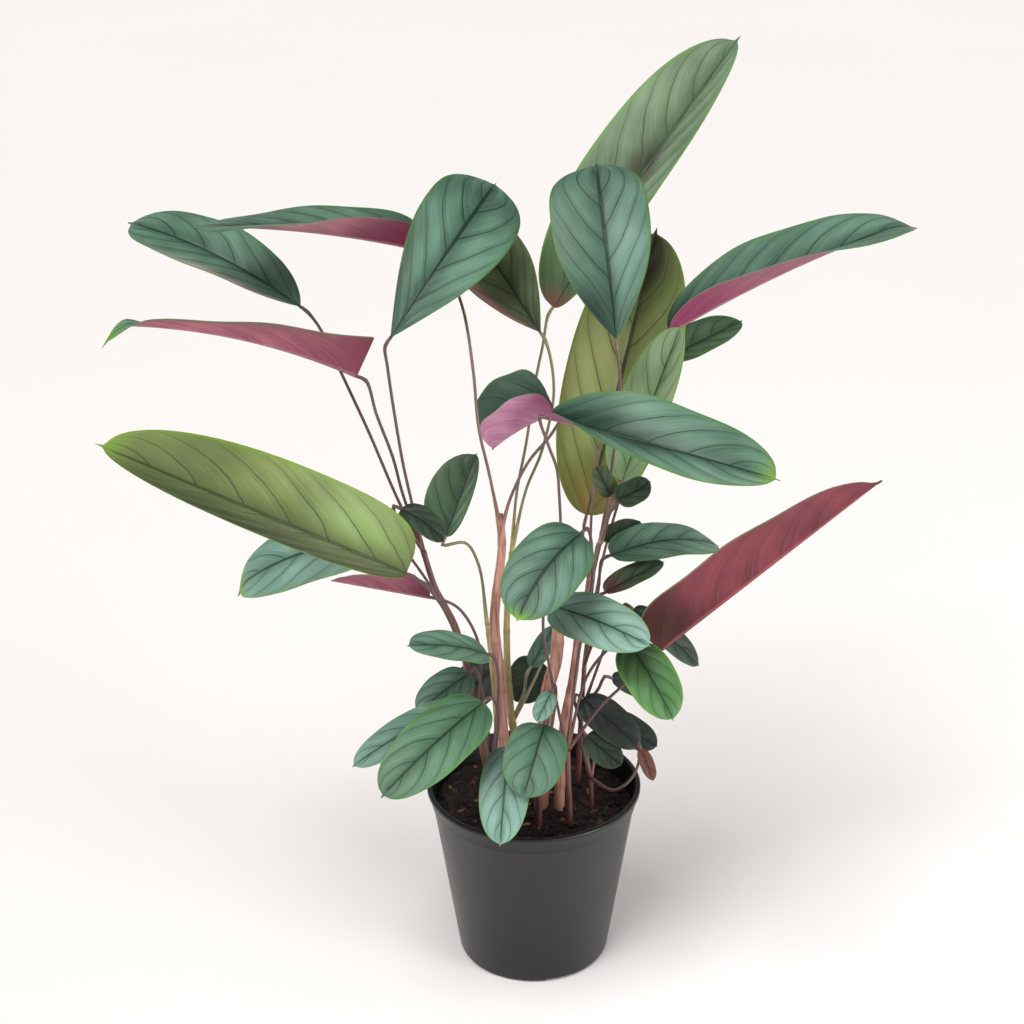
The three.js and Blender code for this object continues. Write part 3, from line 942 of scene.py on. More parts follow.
BLADES: tuple[Blade, ...] = (
    Blade(
        "far_left", (-173, 40, 533), (-309, 110, 577), 56, (0, -0.35, 1), fold=22, bend=0.06,
        skew=-0.15, wide=1.35, square=2.6,
        patches=(Patch((1.0, 0.35), (0.12, 0.35), (196, 160, 164), 0.7),),
    ),
    Blade(
        "left_folded", (-79, 70, 566), (-244, 20, 599), 66, (0, 0.1, 1), fold=62, fold_tip=0,
        bend=0.03, square=2.8, top=Top.TEAL,
        stains=(
            band(0.0, 0.3, (124, 14, 72), 0.92),
            band(0.7, 0.25, (150, 120, 122), 0.5),
        ),
    ),
    Blade(
        "left_rosy", (-128, -10, 496), (-304, -40, 545), 68, (0, 0.5, 1), fold=58, fold_tip=16,
        bend=0.055, wide=0.16, square=1.5, droop=17, turn=-80,
        patches=(GREEN_TIP,),
        stains=(
            band(0.0, 0.08, (108, 48, 64), 0.45),
            Patch((1.0, 0.75), (0.22, 0.5), (78, 100, 66), 0.95),
            band(1.0, 0.12, (96, 122, 66), 0.9),
        ),
    ),
    Blade(
        "upper_left", (-102, -20, 529), (-28, 95, 612), 72, (0.1, -0.9, 0.45), fold=6, fold_tip=4,
        bend=0.12, wide=1.9, square=2.4, point=0.08, top=Top.TEAL,
        # Painted shade: the dark spot near the base at one margin.
        patches=(Patch((1.0, 0.26), (0.24, 0.22), (36, 34, 26), 0.8),),
    ),
    Blade(
        "upper_back", (5, 50, 509), (-48, 110, 575), 56, (0.2, -0.9, 0.35), fold=10, fold_tip=8,
        skew=0.05, wide=1.9, square=2.2, top=Top.MOSS, under=Under.PINK,
        patches=(Patch((1.0, 0.4), (0.16, 0.5), (176, 118, 128), 0.85),),
    ),
    Blade(
        "tall", (15, 90, 516), (160, 190, 703), 62, (-0.2, -0.9, 0.35), bend=0.03, skew=0.45,
        wide=0.95, square=2.2, point=0.2, top=Top.PALE_BACKLIT, under=Under.PINK,
        patches=(
            # Painted shadow of the crown blade: the dark brown spot halfway up the midrib.
            Patch((0.0, 0.5), (0.32, 0.08), (44, 30, 18), 0.95),
            Patch((0.85, 0.15), (0.45, 0.2), (56, 88, 44), 0.8),
            band(0.0, 0.05, (112, 66, 56), 0.8),
        ),
    ),
    Blade(
        "right_folded", (103, 70, 502), (298, 140, 571), 76, (0, -0.12, 1), fold=75, fold_tip=12,
        bend=0.03, skew=-0.1, wide=1, droop=7,
        patches=(DRY_TIP,),
        stains=(
            band(0.08, 0.3, (124, 36, 78), 0.9),
            band(0.45, 0.4, (104, 46, 66), 0.7),
        ),
    ),
    Blade(
        "crown", (59, -10, 525), (46, 80, 631), 72, (0, -0.95, 0.3), bend=0.1, skew=0.06, wide=1.75,
        square=2.9, point=0.06, top=Top.TEAL, under=Under.WINE,
        patches=(
            # Painted shade: the two dark spots on one half. Painted sheen: the pale bluish spot on
            # the other half.
            Patch((0.75, 0.14), (0.7, 0.2), (26, 42, 34), 0.85),
            Patch((0.6, 0.6), (0.45, 0.4), (54, 88, 70), 0.5),
            Patch((-0.4, 0.5), (0.45, 0.35), (124, 160, 148), 0.4),
        ),
    ),
    Blade(
        "olive_upright", (42, 80, 347), (97, 160, 559), 88, (0, -0.95, 0.3), fold_tip=8, bend=0.03,
        wide=1, square=2.2, top=Top.OLIVE,
        patches=(
            # Painted shadow of the crown blade: the dark brown spot near the tip.
            Patch((-0.1, 0.9), (0.85, 0.24), (36, 26, 8), 0.97),
            Patch((0.7, 0.5), (0.6, 0.26), (168, 180, 118), 0.7),
            Patch((-0.6, 0.7), (0.5, 0.3), (104, 130, 74), 0.55),
            Patch((0.0, 0.05), (0.9, 0.12), (124, 98, 38), 0.75),
            Patch((1.0, 0.34), (0.2, 0.2), (98, 66, 34), 0.7),
        ),
    ),
    Blade(
        "olive_narrow", (68, 40, 393), (111, 58, 513), 40, (-0.3, -0.9, 0.3), fold=10, fold_tip=10,
        skew=0.25, top=Top.SHEER_BACKLIT,
    ),
    Blade(
        "bright_front", (11, -20, 467), (172, -90, 448), 60, (0.1, -0.5, 0.85), fold=80, fold_tip=4,
        bend=0.01, skew=0.2, wide=0.95, ease=2.2, shift=0.2, under=Under.PINK,
        patches=(
            GREEN_TIP,
            # Painted shade: the two dark spots near the base.
            Patch((0.3, 0.2), (0.3, 0.22), (28, 48, 38), 0.75),
            Patch((-0.15, 0.38), (0.5, 0.22), (30, 52, 42), 0.75),
            Patch((-1.0, 0.75), (0.12, 0.5), (84, 128, 52), 0.6),
        ),
    ),
    Blade(
        "short_folded", (16, 4, 463), (-31, 5, 433), 75, (0, -0.1, 1), fold=72, fold_tip=66,
        bend=0.05, skew=-0.08, square=3.6, point=0.05, top=Top.TEAL, under=Under.PINK,
        patches=(band(0.5, 2.0, (52, 70, 60), 0.6),),
    ),
    Blade(
        "big_olive", (-93, -58, 361), (-297, -118, 487), 57, (-0.2, -0.9, 0.5), fold=10, fold_tip=8,
        bend=0.04, skew=-0.5, wide=0.8, shift=0.15, top=Top.OLIVE, under=Under.PINK,
        patches=(
            GREEN_TIP,
            # Painted shade: the dark lower half. Painted highlight: the pale spot near the base.
            Patch((0.85, 0.5), (1.0, 0.7), (44, 54, 26), 0.95),
            Patch((-0.45, 0.2), (0.4, 0.16), (134, 168, 96), 0.6),
            Patch((-0.5, 0.8), (0.7, 0.25), (84, 96, 60), 0.6),
        ),
    ),
    Blade(
        "low_left_teal", (-116, 34, 349), (-236, 62, 291), 56, (0, -0.6, 0.8), bend=0.12, droop=7,
        top=Top.FROST, under=Under.PINK,
        patches=(GREEN_TIP,),
    ),
    Blade(
        "low_left_rosy", (-78, -28, 327), (-151, -30, 342), 42, (0, 0.5, 1), fold=55, fold_tip=20,
        stains=(band(0.0, 0.25, (98, 36, 58), 0.7),),
    ),
    Blade(
        "teal_behind", (-97, -30, 400), (-66, -42, 379), 24, (0, -0.3, 0.95), fold=12, fold_tip=10,
        bend=0.12, top=Top.SHADE,
    ),
    Blade(
        "small_upright", (-66, -8, 368), (-43, 30, 420), 34, (0, -0.9, 0.4), fold_tip=8, skew=0.5,
        square=2.1, top=Top.DEEP,
    ),
    Blade(
        "centre_front", (34, -60, 394), (-12, -115, 351), 54, (-0.1, -0.75, 0.65), fold=6,
        fold_tip=4, bend=0.06, sway=-0.05, top=Top.TEAL,
        patches=(GREEN_TIP,),
    ),
    Blade(
        "centre_pale", (14, -45, 328), (84, -98, 322), 42, (0, -0.6, 0.8), bend=0.06, top=Top.FROST,
    ),
    Blade(
        "drooping_bright", (70, -54, 301), (102, -98, 261), 40, (0.2, -0.7, 0.7), fold=6, bend=0.08,
        top=Top.BRIGHT,
        patches=(Patch((0.3, 0.1), (1.0, 0.22), (24, 40, 24), 0.8),),
    ),
    Blade(
        "small_dark_right", (76, -2, 304), (128, -6, 257), 24, (0.2, -0.5, 0.8), fold_tip=8,
        bend=0.05, top=Top.SHADE,
    ),
    Blade(
        "maroon_right", (95, -50, 294), (237, -120, 461), 80, (-0.55, 0.75, 0.8), fold=50,
        fold_tip=30, wide=0.75, square=3.2, top=Top.SHADE, under=Under.WINE,
        stains=(Patch((-0.5, 0.08), (1.6, 0.12), (62, 38, 30), 0.8),),
    ),
    Blade(
        "back_right_dark", (103, 120, 463), (171, 190, 472), 32, (0, -0.6, 0.8), fold_tip=8,
        skew=0.25, top=Top.DEEP,
        patches=(band(0.05, 0.25, (70, 92, 50), 0.6),),
    ),
    Blade(
        "curled_right", (61, -24, 405), (86, -18, 417), 20, (0, -0.7, 0.7), fold=10, fold_tip=10,
        bend=-0.12, square=3.4, point=0.05, top=Top.DEEP,
    ),
    Blade(
        "curled_left", (58, -14, 404), (46, -12, 427), 17, (0.2, -0.8, 0.6), fold=14, fold_tip=14,
        bend=-0.1, square=3.4, point=0.05, top=Top.MOSS,
    ),
    Blade(
        "right_middle", (59, 14, 342), (147, 70, 324), 42, (0, -0.35, 1), fold=12, fold_tip=8,
        bend=0.1,
    ),
    Blade(
        "right_under", (54, -8, 321), (100, 14, 337), 23, (0, -0.3, 1), fold=30, fold_tip=20,
        top=Top.DEEP, under=Under.WINE,
        patches=(band(0.0, 0.35, (92, 36, 48), 0.75),),
    ),
    Blade(
        "small_dark_centre", (54, 32, 346), (84, 70, 346), 22, (0, -0.5, 1), fold=10, fold_tip=8,
        top=Top.SHADE,
    ),
    Blade(
        "low_left_green", (-35, -32, 281), (-93, -66, 306), 32, (0, -0.4, 1), fold_tip=8, bend=0.06,
    ),
    Blade(
        "low_left_round", (-50, -18, 257), (-88, -48, 238), 32, (-0.1, -0.6, 0.8), fold=6,
        bend=0.06,
    ),
    Blade(
        "low_left_dark", (-28, 34, 236), (-68, 24, 205), 38, (0, -0.6, 0.8), fold=6, square=2.8,
        top=Top.SHADE,
    ),
    Blade(
        "dark_between", (4, 46, 235), (-15, 38, 201), 34, (0, -0.7, 0.7), fold=6, top=Top.SHADE,
    ),
    Blade(
        "low_outer", (-58, -50, 247), (-134, -100, 223), 28, (-0.1, -0.6, 0.8), fold=6, bend=0.06,
        top=Top.FROST,
    ),
    Blade(
        "low_broad", (-38, -60, 255), (-111, -130, 215), 50, (-0.1, -0.65, 0.75), fold=6, bend=0.06,
        top=Top.GREEN,
    ),
    Blade(
        "over_rim", (-18, -60, 217), (-25, -118, 166), 38, (-0.1, -0.85, 0.4), fold=6, bend=0.08,
        top=Top.FROST,
    ),
    Blade(
        "front_round", (8, -60, 236), (-8, -105, 199), 46, (0, -0.8, 0.6), fold=6, bend=0.06,
        top=Top.TEAL,
        patches=(band(0.5, 1.0, (66, 104, 76), 0.4),),
    ),
    Blade(
        "front_small", (13, -50, 258), (2, -75, 247), 15, (0, -0.8, 0.6), fold=6, top=Top.FROST,
    ),
    Blade(
        "blue_between", (-2, 10, 248), (17, 40, 269), 16, (0, -0.8, 0.6), fold=6, top=Top.TEAL,
    ),
    Blade(
        "dark_low_right", (38, -2, 226), (82, -26, 196), 30, (0, -0.6, 0.8), fold=6, bend=0.06,
        top=Top.SHADE,
        patches=(LOW_SHADE,),
    ),
    Blade(
        "dark_low_back", (58, 10, 203), (98, 0, 182), 26, (0, -0.6, 0.8), fold=6, top=Top.SHADE,
        patches=(LOW_SHADE,),
    ),
    Blade(
        "dry_curl", (82, -44, 205), (91, -62, 188), 12, (0.3, -0.8, 0.4), fold=20, fold_tip=20,
        top=Top.DRY, under=Under.WINE,
    ),
    Blade(
        "purple_low", (62, 28, 228), (87, 50, 200), 18, (0, -0.6, 0.8), fold=6, bend=0.1,
        top=Top.SHADE, under=Under.WINE,
        patches=(LOW_SHADE,),
    ),
    Blade(
        "soil_leaf", (41, -24, 206), (68, -36, 186), 24, (0, -0.6, 0.8), fold=6, top=Top.SHADE,
    ),
)


class Foliage:
    """All the blades, each a piece that stands for its own solid."""

    def __init__(self, blades: Sequence[Blade] = BLADES, maker: BladeMaker = BladeMaker()) -> None:
        """Keeps the blades and makes their finishes.

        Args:
            blades: the blades.
            maker: what makes their meshes.
        """
        self.blades = blades
        self.maker = maker
        self.tops = {top: top.value.material() for top in Top}
        self.unders = {under: under.value.material() for under in Under}

    def build(self) -> list[bpy.types.Object]:
        """Makes every blade."""
        return [self.grow(blade) for blade in self.blades]

    def grow(self, blade: Blade) -> bpy.types.Object:
        """Makes, dresses and seats one blade.

        Args:
            blade: its sizes and finishes.

        Returns:
            The piece.
        """
        mesh = self.maker.mesh(blade)
        mesh.materials.append(self.tops[blade.top])
        mesh.materials.append(self.unders[blade.under])
        return seat(f"blade_{blade.name}", mesh, f"leaf_{blade.name}")


@dataclass(frozen=True)
class Route:
    """A smooth path through points.

    A span takes a time that grows with its length to the power of TIMING, so that the path
    doesn't loop beside a short span.
    """

    points: tuple[Point, ...]

    TIMING = 0.5
    LEAST_SPAN = 1e-4

    def at(self, index: int, share: float) -> Vector:
        """A point on one span of the path.

        Args:
            index: the span's number.
            share: how far along it, from 0 to 1.

        Returns:
            The point.
        """
        known = [Vector(point) for point in self.points]
        before = known[index - 1] if index else known[0] * 2 - known[1]
        after = known[index + 2] if index + 2 < len(known) else known[-1] * 2 - known[-2]
        stops = [before, known[index], known[index + 1], after]
        knots = [0.0]
        for first, second in zip(stops, stops[1:]):
            span = max((second - first).length, self.LEAST_SPAN)
            knots.append(knots[-1] + span**self.TIMING)
        t = knots[1] + (knots[2] - knots[1]) * share
        level = stops
        for depth in (1, 2, 3):
            level = [
                level[i].lerp(level[i + 1], self.weight(knots, t, i, depth))
                for i in range(len(level) - 1)
            ]
        return level[0]

    @staticmethod
    def weight(knots: Sequence[float], t: float, index: int, depth: int) -> float:
        """How two neighbours are mixed at one depth of the curve's pyramid.

        Args:
            knots: where the curve passes its four stops.
            t: the place that is wanted.
            index: the first neighbour's number.
            depth: 1, 2 or 3.

        Returns:
            The share of the later neighbour.
        """
        starts = {1: index, 2: index, 3: 1}[depth]
        ends = {1: index + 1, 2: index + 2, 3: 2}[depth]
        return (t - knots[starts]) / (knots[ends] - knots[starts])

    def sample(self, step: float) -> list[Vector]:
        """Points along the whole path.

        Args:
            step: about how far apart they are.

        Returns:
            The points, with both ends.
        """
        found = []
        for index in range(len(self.points) - 1):
            span = (Vector(self.points[index + 1]) - Vector(self.points[index])).length
            count = max(1, round(span / step))
            found += [self.at(index, k / count) for k in range(count)]
        return found + [Vector(self.points[-1])]


def distances(path: Sequence[Vector]) -> list[float]:
    """Measures along a path.

    Args:
        path: its points.

    Returns:
        How far each point is from the first.
    """
    found = [0.0]
    for first, second in zip(path, path[1:]):
        found.append(found[-1] + (second - first).length)
    return found


class Tube:
    """A round skin that is extruded ring by ring along a path."""

    def __init__(self, bm: bmesh.types.BMesh, sides: int) -> None:
        """Keeps the mesh and its attribute layers.

        Args:
            bm: the mesh that tubes are added to.
            sides: the faces round a tube.
        """
        self.bm = bm
        self.sides = sides
        layers = bm.verts.layers.float
        self.reach = layers.get("reach") or layers.new("reach")
        self.ring = layers.get("ring") or layers.new("ring")

    def run(
        self,
        path: Sequence[Vector],
        radii: Sequence[float],
        rings: Sequence[float],
        span: tuple[float, float],
    ) -> None:
        """Makes one tube.

        Args:
            path: its centre line in millimetres.
            radii: the radius at each point.
            rings: how much of a joint's colour each point has.
            span: the part of the way from the soil to a blade that the tube covers.
        """
        low, high = span
        places = self.places(path, radii)
        start = bmesh.ops.create_circle(
            self.bm, cap_ends=True, radius=1.0, segments=self.sides, matrix=places[0]
        )
        verts = start["verts"]
        edges = list({edge for vert in verts for edge in vert.link_edges})
        self.mark(verts, low, rings[0])
        for index in range(1, len(places)):
            grown = bmesh.ops.extrude_edge_only(self.bm, edges=edges)["geom"]
            verts = only_verts(grown)
            edges = [
                item
                for item in grown
                if isinstance(item, bmesh.types.BMEdge) and all(v in verts for v in item.verts)
            ]
            turn = places[index] @ places[index - 1].inverted()
            bmesh.ops.transform(self.bm, matrix=turn, verts=verts)
            reach = low + (high - low) * index / (len(places) - 1)
            self.mark(verts, reach, rings[index])
        bmesh.ops.edgeloop_fill(self.bm, edges=edges)

    def mark(self, verts: Iterable[bmesh.types.BMVert], reach: float, ring: float) -> None:
        """Writes a ring's attributes.

        Args:
            verts: the ring.
            reach: how far it is from the soil to a blade, from 0 to 1.
            ring: how much of a joint's colour it has.
        """
        for vert in verts:
            vert[self.reach] = reach
            vert[self.ring] = ring

    @staticmethod
    def places(path: Sequence[Vector], radii: Sequence[float]) -> list[Matrix]:
        """Works out each ring's place, turn and size, without twist along the path.

        Args:
            path: the centre line in millimetres.
            radii: the radius at each point.

        Returns:
            A matrix for each ring.
        """
        found = []
        turn = Quaternion()
        facing = Vector((0.0, 0.0, 1.0))
        for index, spot in enumerate(path):
            before = path[max(0, index - 1)]
            after = path[min(len(path) - 1, index + 1)]
            heading = (after - before).normalized()
            turn = facing.rotation_difference(heading) @ turn
            facing = heading
            found.append(
                Matrix.Translation(spot * MM)
                @ turn.to_matrix().to_4x4()
                @ Matrix.Scale(radii[index] * MM, 4)
            )
        return found


@dataclass(frozen=True)
class Shoot:
    """A leafy stem: a trunk that stands in the soil, and the stalks that leave it.

    Attributes:
        name: the solid's name.
        foot: where it leaves the soil.
        radius: the trunk's radius at the foot and at its top.
        bark: its skin.
        trunk: the points that the trunk passes above its foot.
        stalks: the points that each blade's stalk passes, by the blade's name.
    """

    name: str
    foot: tuple[float, float]
    radius: tuple[float, float]
    bark: Bark
    trunk: tuple[Point, ...]
    stalks: dict[str, tuple[Point, ...]]


SHOOTS: tuple[Shoot, ...] = (
    Shoot(
        "stem_left", (-34, -5), (3.2, 2.2), Bark.STALK,
        trunk=((-44, -5, 207), (-59, -6, 288), (-75, -8, 326), (-83, -10, 357)),
        stalks={
            "upper_left": (
                (-83, -10, 357), (-91, -12, 400), (-96, -14, 429), (-101, -16, 468),
                (-105, -18, 506),
            ),
            "far_left": (
                (-83, -10, 357), (-102, -4, 398), (-122, 6, 446), (-141, 20, 485), (-157, 32, 517),
            ),
            "left_rosy": ((-83, -10, 357), (-97, -9, 402), (-104, -9, 433), (-115, -9, 467)),
            "teal_behind": ((-83, -10, 357), (-93, -14, 376), (-101, -22, 390)),
            "big_olive": ((-52, -6, 255), (-62, -22, 300), (-74, -42, 336)),
            "low_left_teal": ((-59, -6, 288), (-80, 12, 318), (-98, 26, 339)),
            "low_left_rosy": ((-44, -5, 207), (-42, -14, 280), (-56, -18, 312)),
        },
    ),
    Shoot(
        "stem_left_inner", (-28, 18), (2.2, 1.6), Bark.LIME,
        trunk=((-31, 12, 221), (-36, 6, 287)),
        stalks={
            "small_upright": ((-36, 6, 287), (-42, 2, 340), (-52, -6, 362)),
        },
    ),
    Shoot(
        "stem_cane", (-18, -10), (5.8, 3), Bark.CANE,
        trunk=((-24, -10, 190), (-26, -10, 246), (-30, -8, 297), (-24, -4, 360), (-26, 0, 383)),
        stalks={
            "left_folded": (
                (-26, 0, 376), (-33, -17, 424), (-40, -23, 462), (-44, -6, 500), (-53, 30, 538),
            ),
            "short_folded": ((-25, -3, 366), (-18, -2, 395), (-4, 0, 425), (14, 2, 448)),
        },
    ),
    Shoot(
        "stem_centre", (-4, 14), (3.6, 2.2), Bark.LIME,
        trunk=((-17, 12, 197), (-21, 12, 283), (-17, 14, 344)),
        stalks={
            "tall": ((-17, 14, 344), (-13, 34, 386), (-6, 52, 418), (2, 72, 466), (7, 82, 488)),
            "upper_back": (
                (-17, 14, 344), (-6, 26, 391), (6, 36, 419), (15, 44, 461), (13, 46, 488),
            ),
            "blue_between": ((-17, 12, 197), (-8, 12, 223)),
            "low_left_dark": ((-17, 12, 197), (-18, 24, 222)),
            "dark_between": ((-17, 12, 197), (-2, 26, 222), (8, 40, 241)),
        },
    ),
    Shoot(
        "stem_centre_red", (6, -14), (6.4, 4.8), Bark.CANE,
        trunk=((11, -12, 239), (17, -10, 265), (19, -8, 293)),
        stalks={
            "bright_front": (
                (19, -8, 293), (20, -10, 379), (19, -11, 401), (17, -13, 425), (11, -16, 444),
            ),
            "olive_upright": ((19, -8, 293), (30, 16, 320), (38, 56, 336)),
        },
    ),
    Shoot(
        "stem_right_red", (20, -16), (4.6, 3.2), Bark.CANE,
        trunk=((24, -14, 212), (30, -10, 246), (34, -6, 280)),
        stalks={
            "crown": ((34, -6, 280), (44, -2, 330), (53, 2, 380), (59, 2, 429), (63, -2, 485)),
            "right_folded": (
                (34, -6, 280), (42, 10, 330), (45, 38, 375), (52, 68, 410), (76, 88, 450),
                (95, 80, 484),
            ),
            "olive_narrow": ((34, -6, 280), (44, 8, 330), (57, 28, 372)),
            "curled_right": ((44, -2, 330), (50, -16, 366), (55, -20, 388)),
            "curled_left": ((50, -16, 366), (57, -16, 392)),
        },
    ),
    Shoot(
        "stem_right", (36, 22), (2.6, 1.8), Bark.STALK,
        trunk=((38, 22, 201), (40, 24, 243)),
        stalks={
            "right_middle": ((40, 24, 243), (50, 20, 310)),
            "right_under": ((40, 24, 243), (50, 4, 290)),
            "small_dark_centre": ((40, 24, 243), (46, 28, 311)),
            "back_right_dark": ((40, 24, 243), (56, 70, 318), (85, 115, 403)),
            "small_dark_right": ((38, 22, 201), (56, 6, 270), (64, 2, 298)),
            "purple_low": ((38, 22, 201), (52, 24, 222)),
        },
    ),
    Shoot(
        "stem_right_front", (28, -36), (2.8, 2.2), Bark.STALK,
        trunk=((26, -32, 197),),
        stalks={
            "maroon_right": ((26, -32, 197), (52, -34, 238), (78, -38, 268)),
            "drooping_bright": ((26, -32, 197), (40, -34, 262), (56, -44, 292)),
            "centre_front": ((26, -32, 197), (33, -36, 277), (43, -46, 352)),
            "centre_pale": ((26, -32, 197), (13, -36, 266), (7, -40, 309)),
        },
    ),
    Shoot(
        "stem_low_left", (-34, -32), (2.8, 2.4), Bark.STALK,
        trunk=((-33, -32, 180),),
        stalks={
            "low_left_green": ((-33, -32, 180), (-28, -30, 232), (-27, -29, 262)),
            "low_left_round": ((-33, -32, 180), (-36, -24, 220), (-41, -15, 248)),
            "low_outer": ((-33, -32, 180), (-38, -38, 215), (-46, -44, 241)),
            "low_broad": ((-33, -32, 180), (-28, -42, 220), (-29, -50, 250)),
        },
    ),
    Shoot(
        "stem_low_front", (4, -40), (2.8, 2.4), Bark.STALK,
        trunk=((4, -40, 172),),
        stalks={
            "over_rim": ((4, -40, 172), (0, -42, 205), (-10, -45, 224)),
            "front_round": ((4, -40, 172), (9, -42, 212), (11, -47, 236)),
            "front_small": ((4, -40, 172), (13, -37, 215), (17, -39, 252)),
        },
    ),
    Shoot(
        "stem_low_right", (46, -12), (2.2, 1.8), Bark.STALK,
        trunk=((45, -12, 160),),
        stalks={
            "dark_low_right": ((45, -12, 160), (38, -6, 200), (32, -1, 224)),
            "dark_low_back": ((45, -12, 160), (50, 0, 188), (53, 8, 202)),
            "dry_curl": ((45, -12, 160), (62, -36, 164), (76, -46, 182), (81, -45, 198)),
            "soil_leaf": ((45, -12, 160), (38, -16, 190), (36, -19, 204)),
        },
    ),
)


@dataclass(frozen=True)
class ShootMaker:
    """Makes shoots: jointed canes, sheathed stalks and the swelling under each blade.

    Attributes:
        stalk_radius: a stalk's radius, and waist its share between sheath and swelling.
        trunk_sides, stalk_sides: the faces round each.
        joint_every, joint_swell, joint_reach: the trunk joints' spacing, swelling and height.
        foot_depth: how deep a trunk stands in the soil.
        foot_rises: the heights over the soil of two more points at its foot.
        trunk_share: how much of the way to a blade the trunk takes up in the finish.
        trunk_step, stalk_step: the distance between rings.
        sheath, sheath_swell: the length and swelling of the sheath where a stalk leaves.
        knee, knee_reach, knee_swell: the place, length and swelling of the joint below a blade.
        overrun: how far a stalk reaches past the blade's base.
    """

    stalk_radius: float = 1.25
    waist: float = 0.92
    trunk_sides: int = 14
    stalk_sides: int = 10
    joint_every: float = 41.0
    joint_swell: float = 0.08
    joint_reach: float = 2.2
    foot_depth: float = 20.0
    foot_rises: tuple[float, float] = (-8.0, 3.0)
    trunk_share: float = 0.25
    trunk_step: float = 2.4
    stalk_step: float = 4.0
    sheath: float = 34.0
    sheath_swell: float = 0.55
    knee: float = 7.0
    knee_reach: float = 5.0
    knee_swell: float = 0.3
    overrun: float = 0.6

    def mesh(self, shoot: Shoot, blades: dict[str, Blade]) -> bpy.types.Mesh:
        """Makes a shoot's mesh.

        Args:
            shoot: its sizes.
            blades: every blade by name.

        Returns:
            One mesh with the trunk and all the stalks.
        """
        bm = bmesh.new()
        self.grow_trunk(bm, shoot)
        for name, via in shoot.stalks.items():
            self.grow_stalk(bm, via, blades[name])
        for face in bm.faces:
            face.smooth = True
        bmesh.ops.recalc_face_normals(bm, faces=bm.faces[:])
        return baked(bm, shoot.name)

    def grow_trunk(self, bm: bmesh.types.BMesh, shoot: Shoot) -> None:
        """Adds the trunk, with a swollen joint every few centimetres.

        Args:
            bm: the mesh it is added to.
            shoot: the shoot's sizes.
        """
        x, y = shoot.foot
        ground = soil_height(x, y)
        start = tuple((x, y, ground + rise) for rise in (-self.foot_depth, *self.foot_rises))
        path = Route(start + shoot.trunk).sample(self.trunk_step)
        low, high = shoot.radius
        radii, rings = [], []
        for index, run in enumerate(distances(path)):
            share = index / (len(path) - 1)
            off = (run - self.foot_depth) % self.joint_every - self.joint_every / 2
            swell = math.exp(-((off / self.joint_reach) ** 2))
            radii.append((low + (high - low) * share) * (1 + self.joint_swell * swell))
            rings.append(swell)
        Tube(bm, self.trunk_sides).run(path, radii, rings, (0.0, self.trunk_share))

    def grow_stalk(self, bm: bmesh.types.BMesh, via: Sequence[Point], blade: Blade) -> None:
        """Adds one stalk, with a sheath where it leaves and a swelling at the blade.

        Args:
            bm: the mesh it is added to.
            via: the points that it passes.
            blade: the blade that it carries.
        """
        place, tangent, _, _ = blade.spine(0.0)
        joint, end = place - tangent * self.knee, place + tangent * self.overrun
        path = Route((*via, tuple(joint), tuple(end))).sample(self.stalk_step)
        runs = distances(path)
        radii = []
        for run in runs:
            sheath = max(0.0, 1 - run / self.sheath)
            swell = math.exp(-(((runs[-1] - run - self.knee) / self.knee_reach) ** 2))
            girth = self.waist + self.sheath_swell * sheath + self.knee_swell * swell
            radii.append(self.stalk_radius * girth)
        rings = [0.0] * len(path)
        Tube(bm, self.stalk_sides).run(path, radii, rings, (self.trunk_share, 1.0))


class Stems:
    """All the shoots, each a piece that stands for its own solid."""

    def __init__(self, shoots: Sequence[Shoot] = SHOOTS, maker: ShootMaker = ShootMaker()) -> None:
        """Keeps the shoots and makes their finishes.

        Args:
            shoots: the shoots.
            maker: what makes their meshes.
        """
        self.shoots = shoots
        self.maker = maker
        self.barks = {bark: bark.value.material() for bark in Bark}

    def build(self) -> list[bpy.types.Object]:
        """Makes every shoot.

        Returns:
            The pieces.
        """
        blades = {blade.name: blade for blade in BLADES}
        found = []
        for shoot in self.shoots:
            mesh = self.maker.mesh(shoot, blades)
            mesh.materials.append(self.barks[shoot.bark])
            found.append(seat(shoot.name.replace("stem", "shoot"), mesh, shoot.name))
        return found


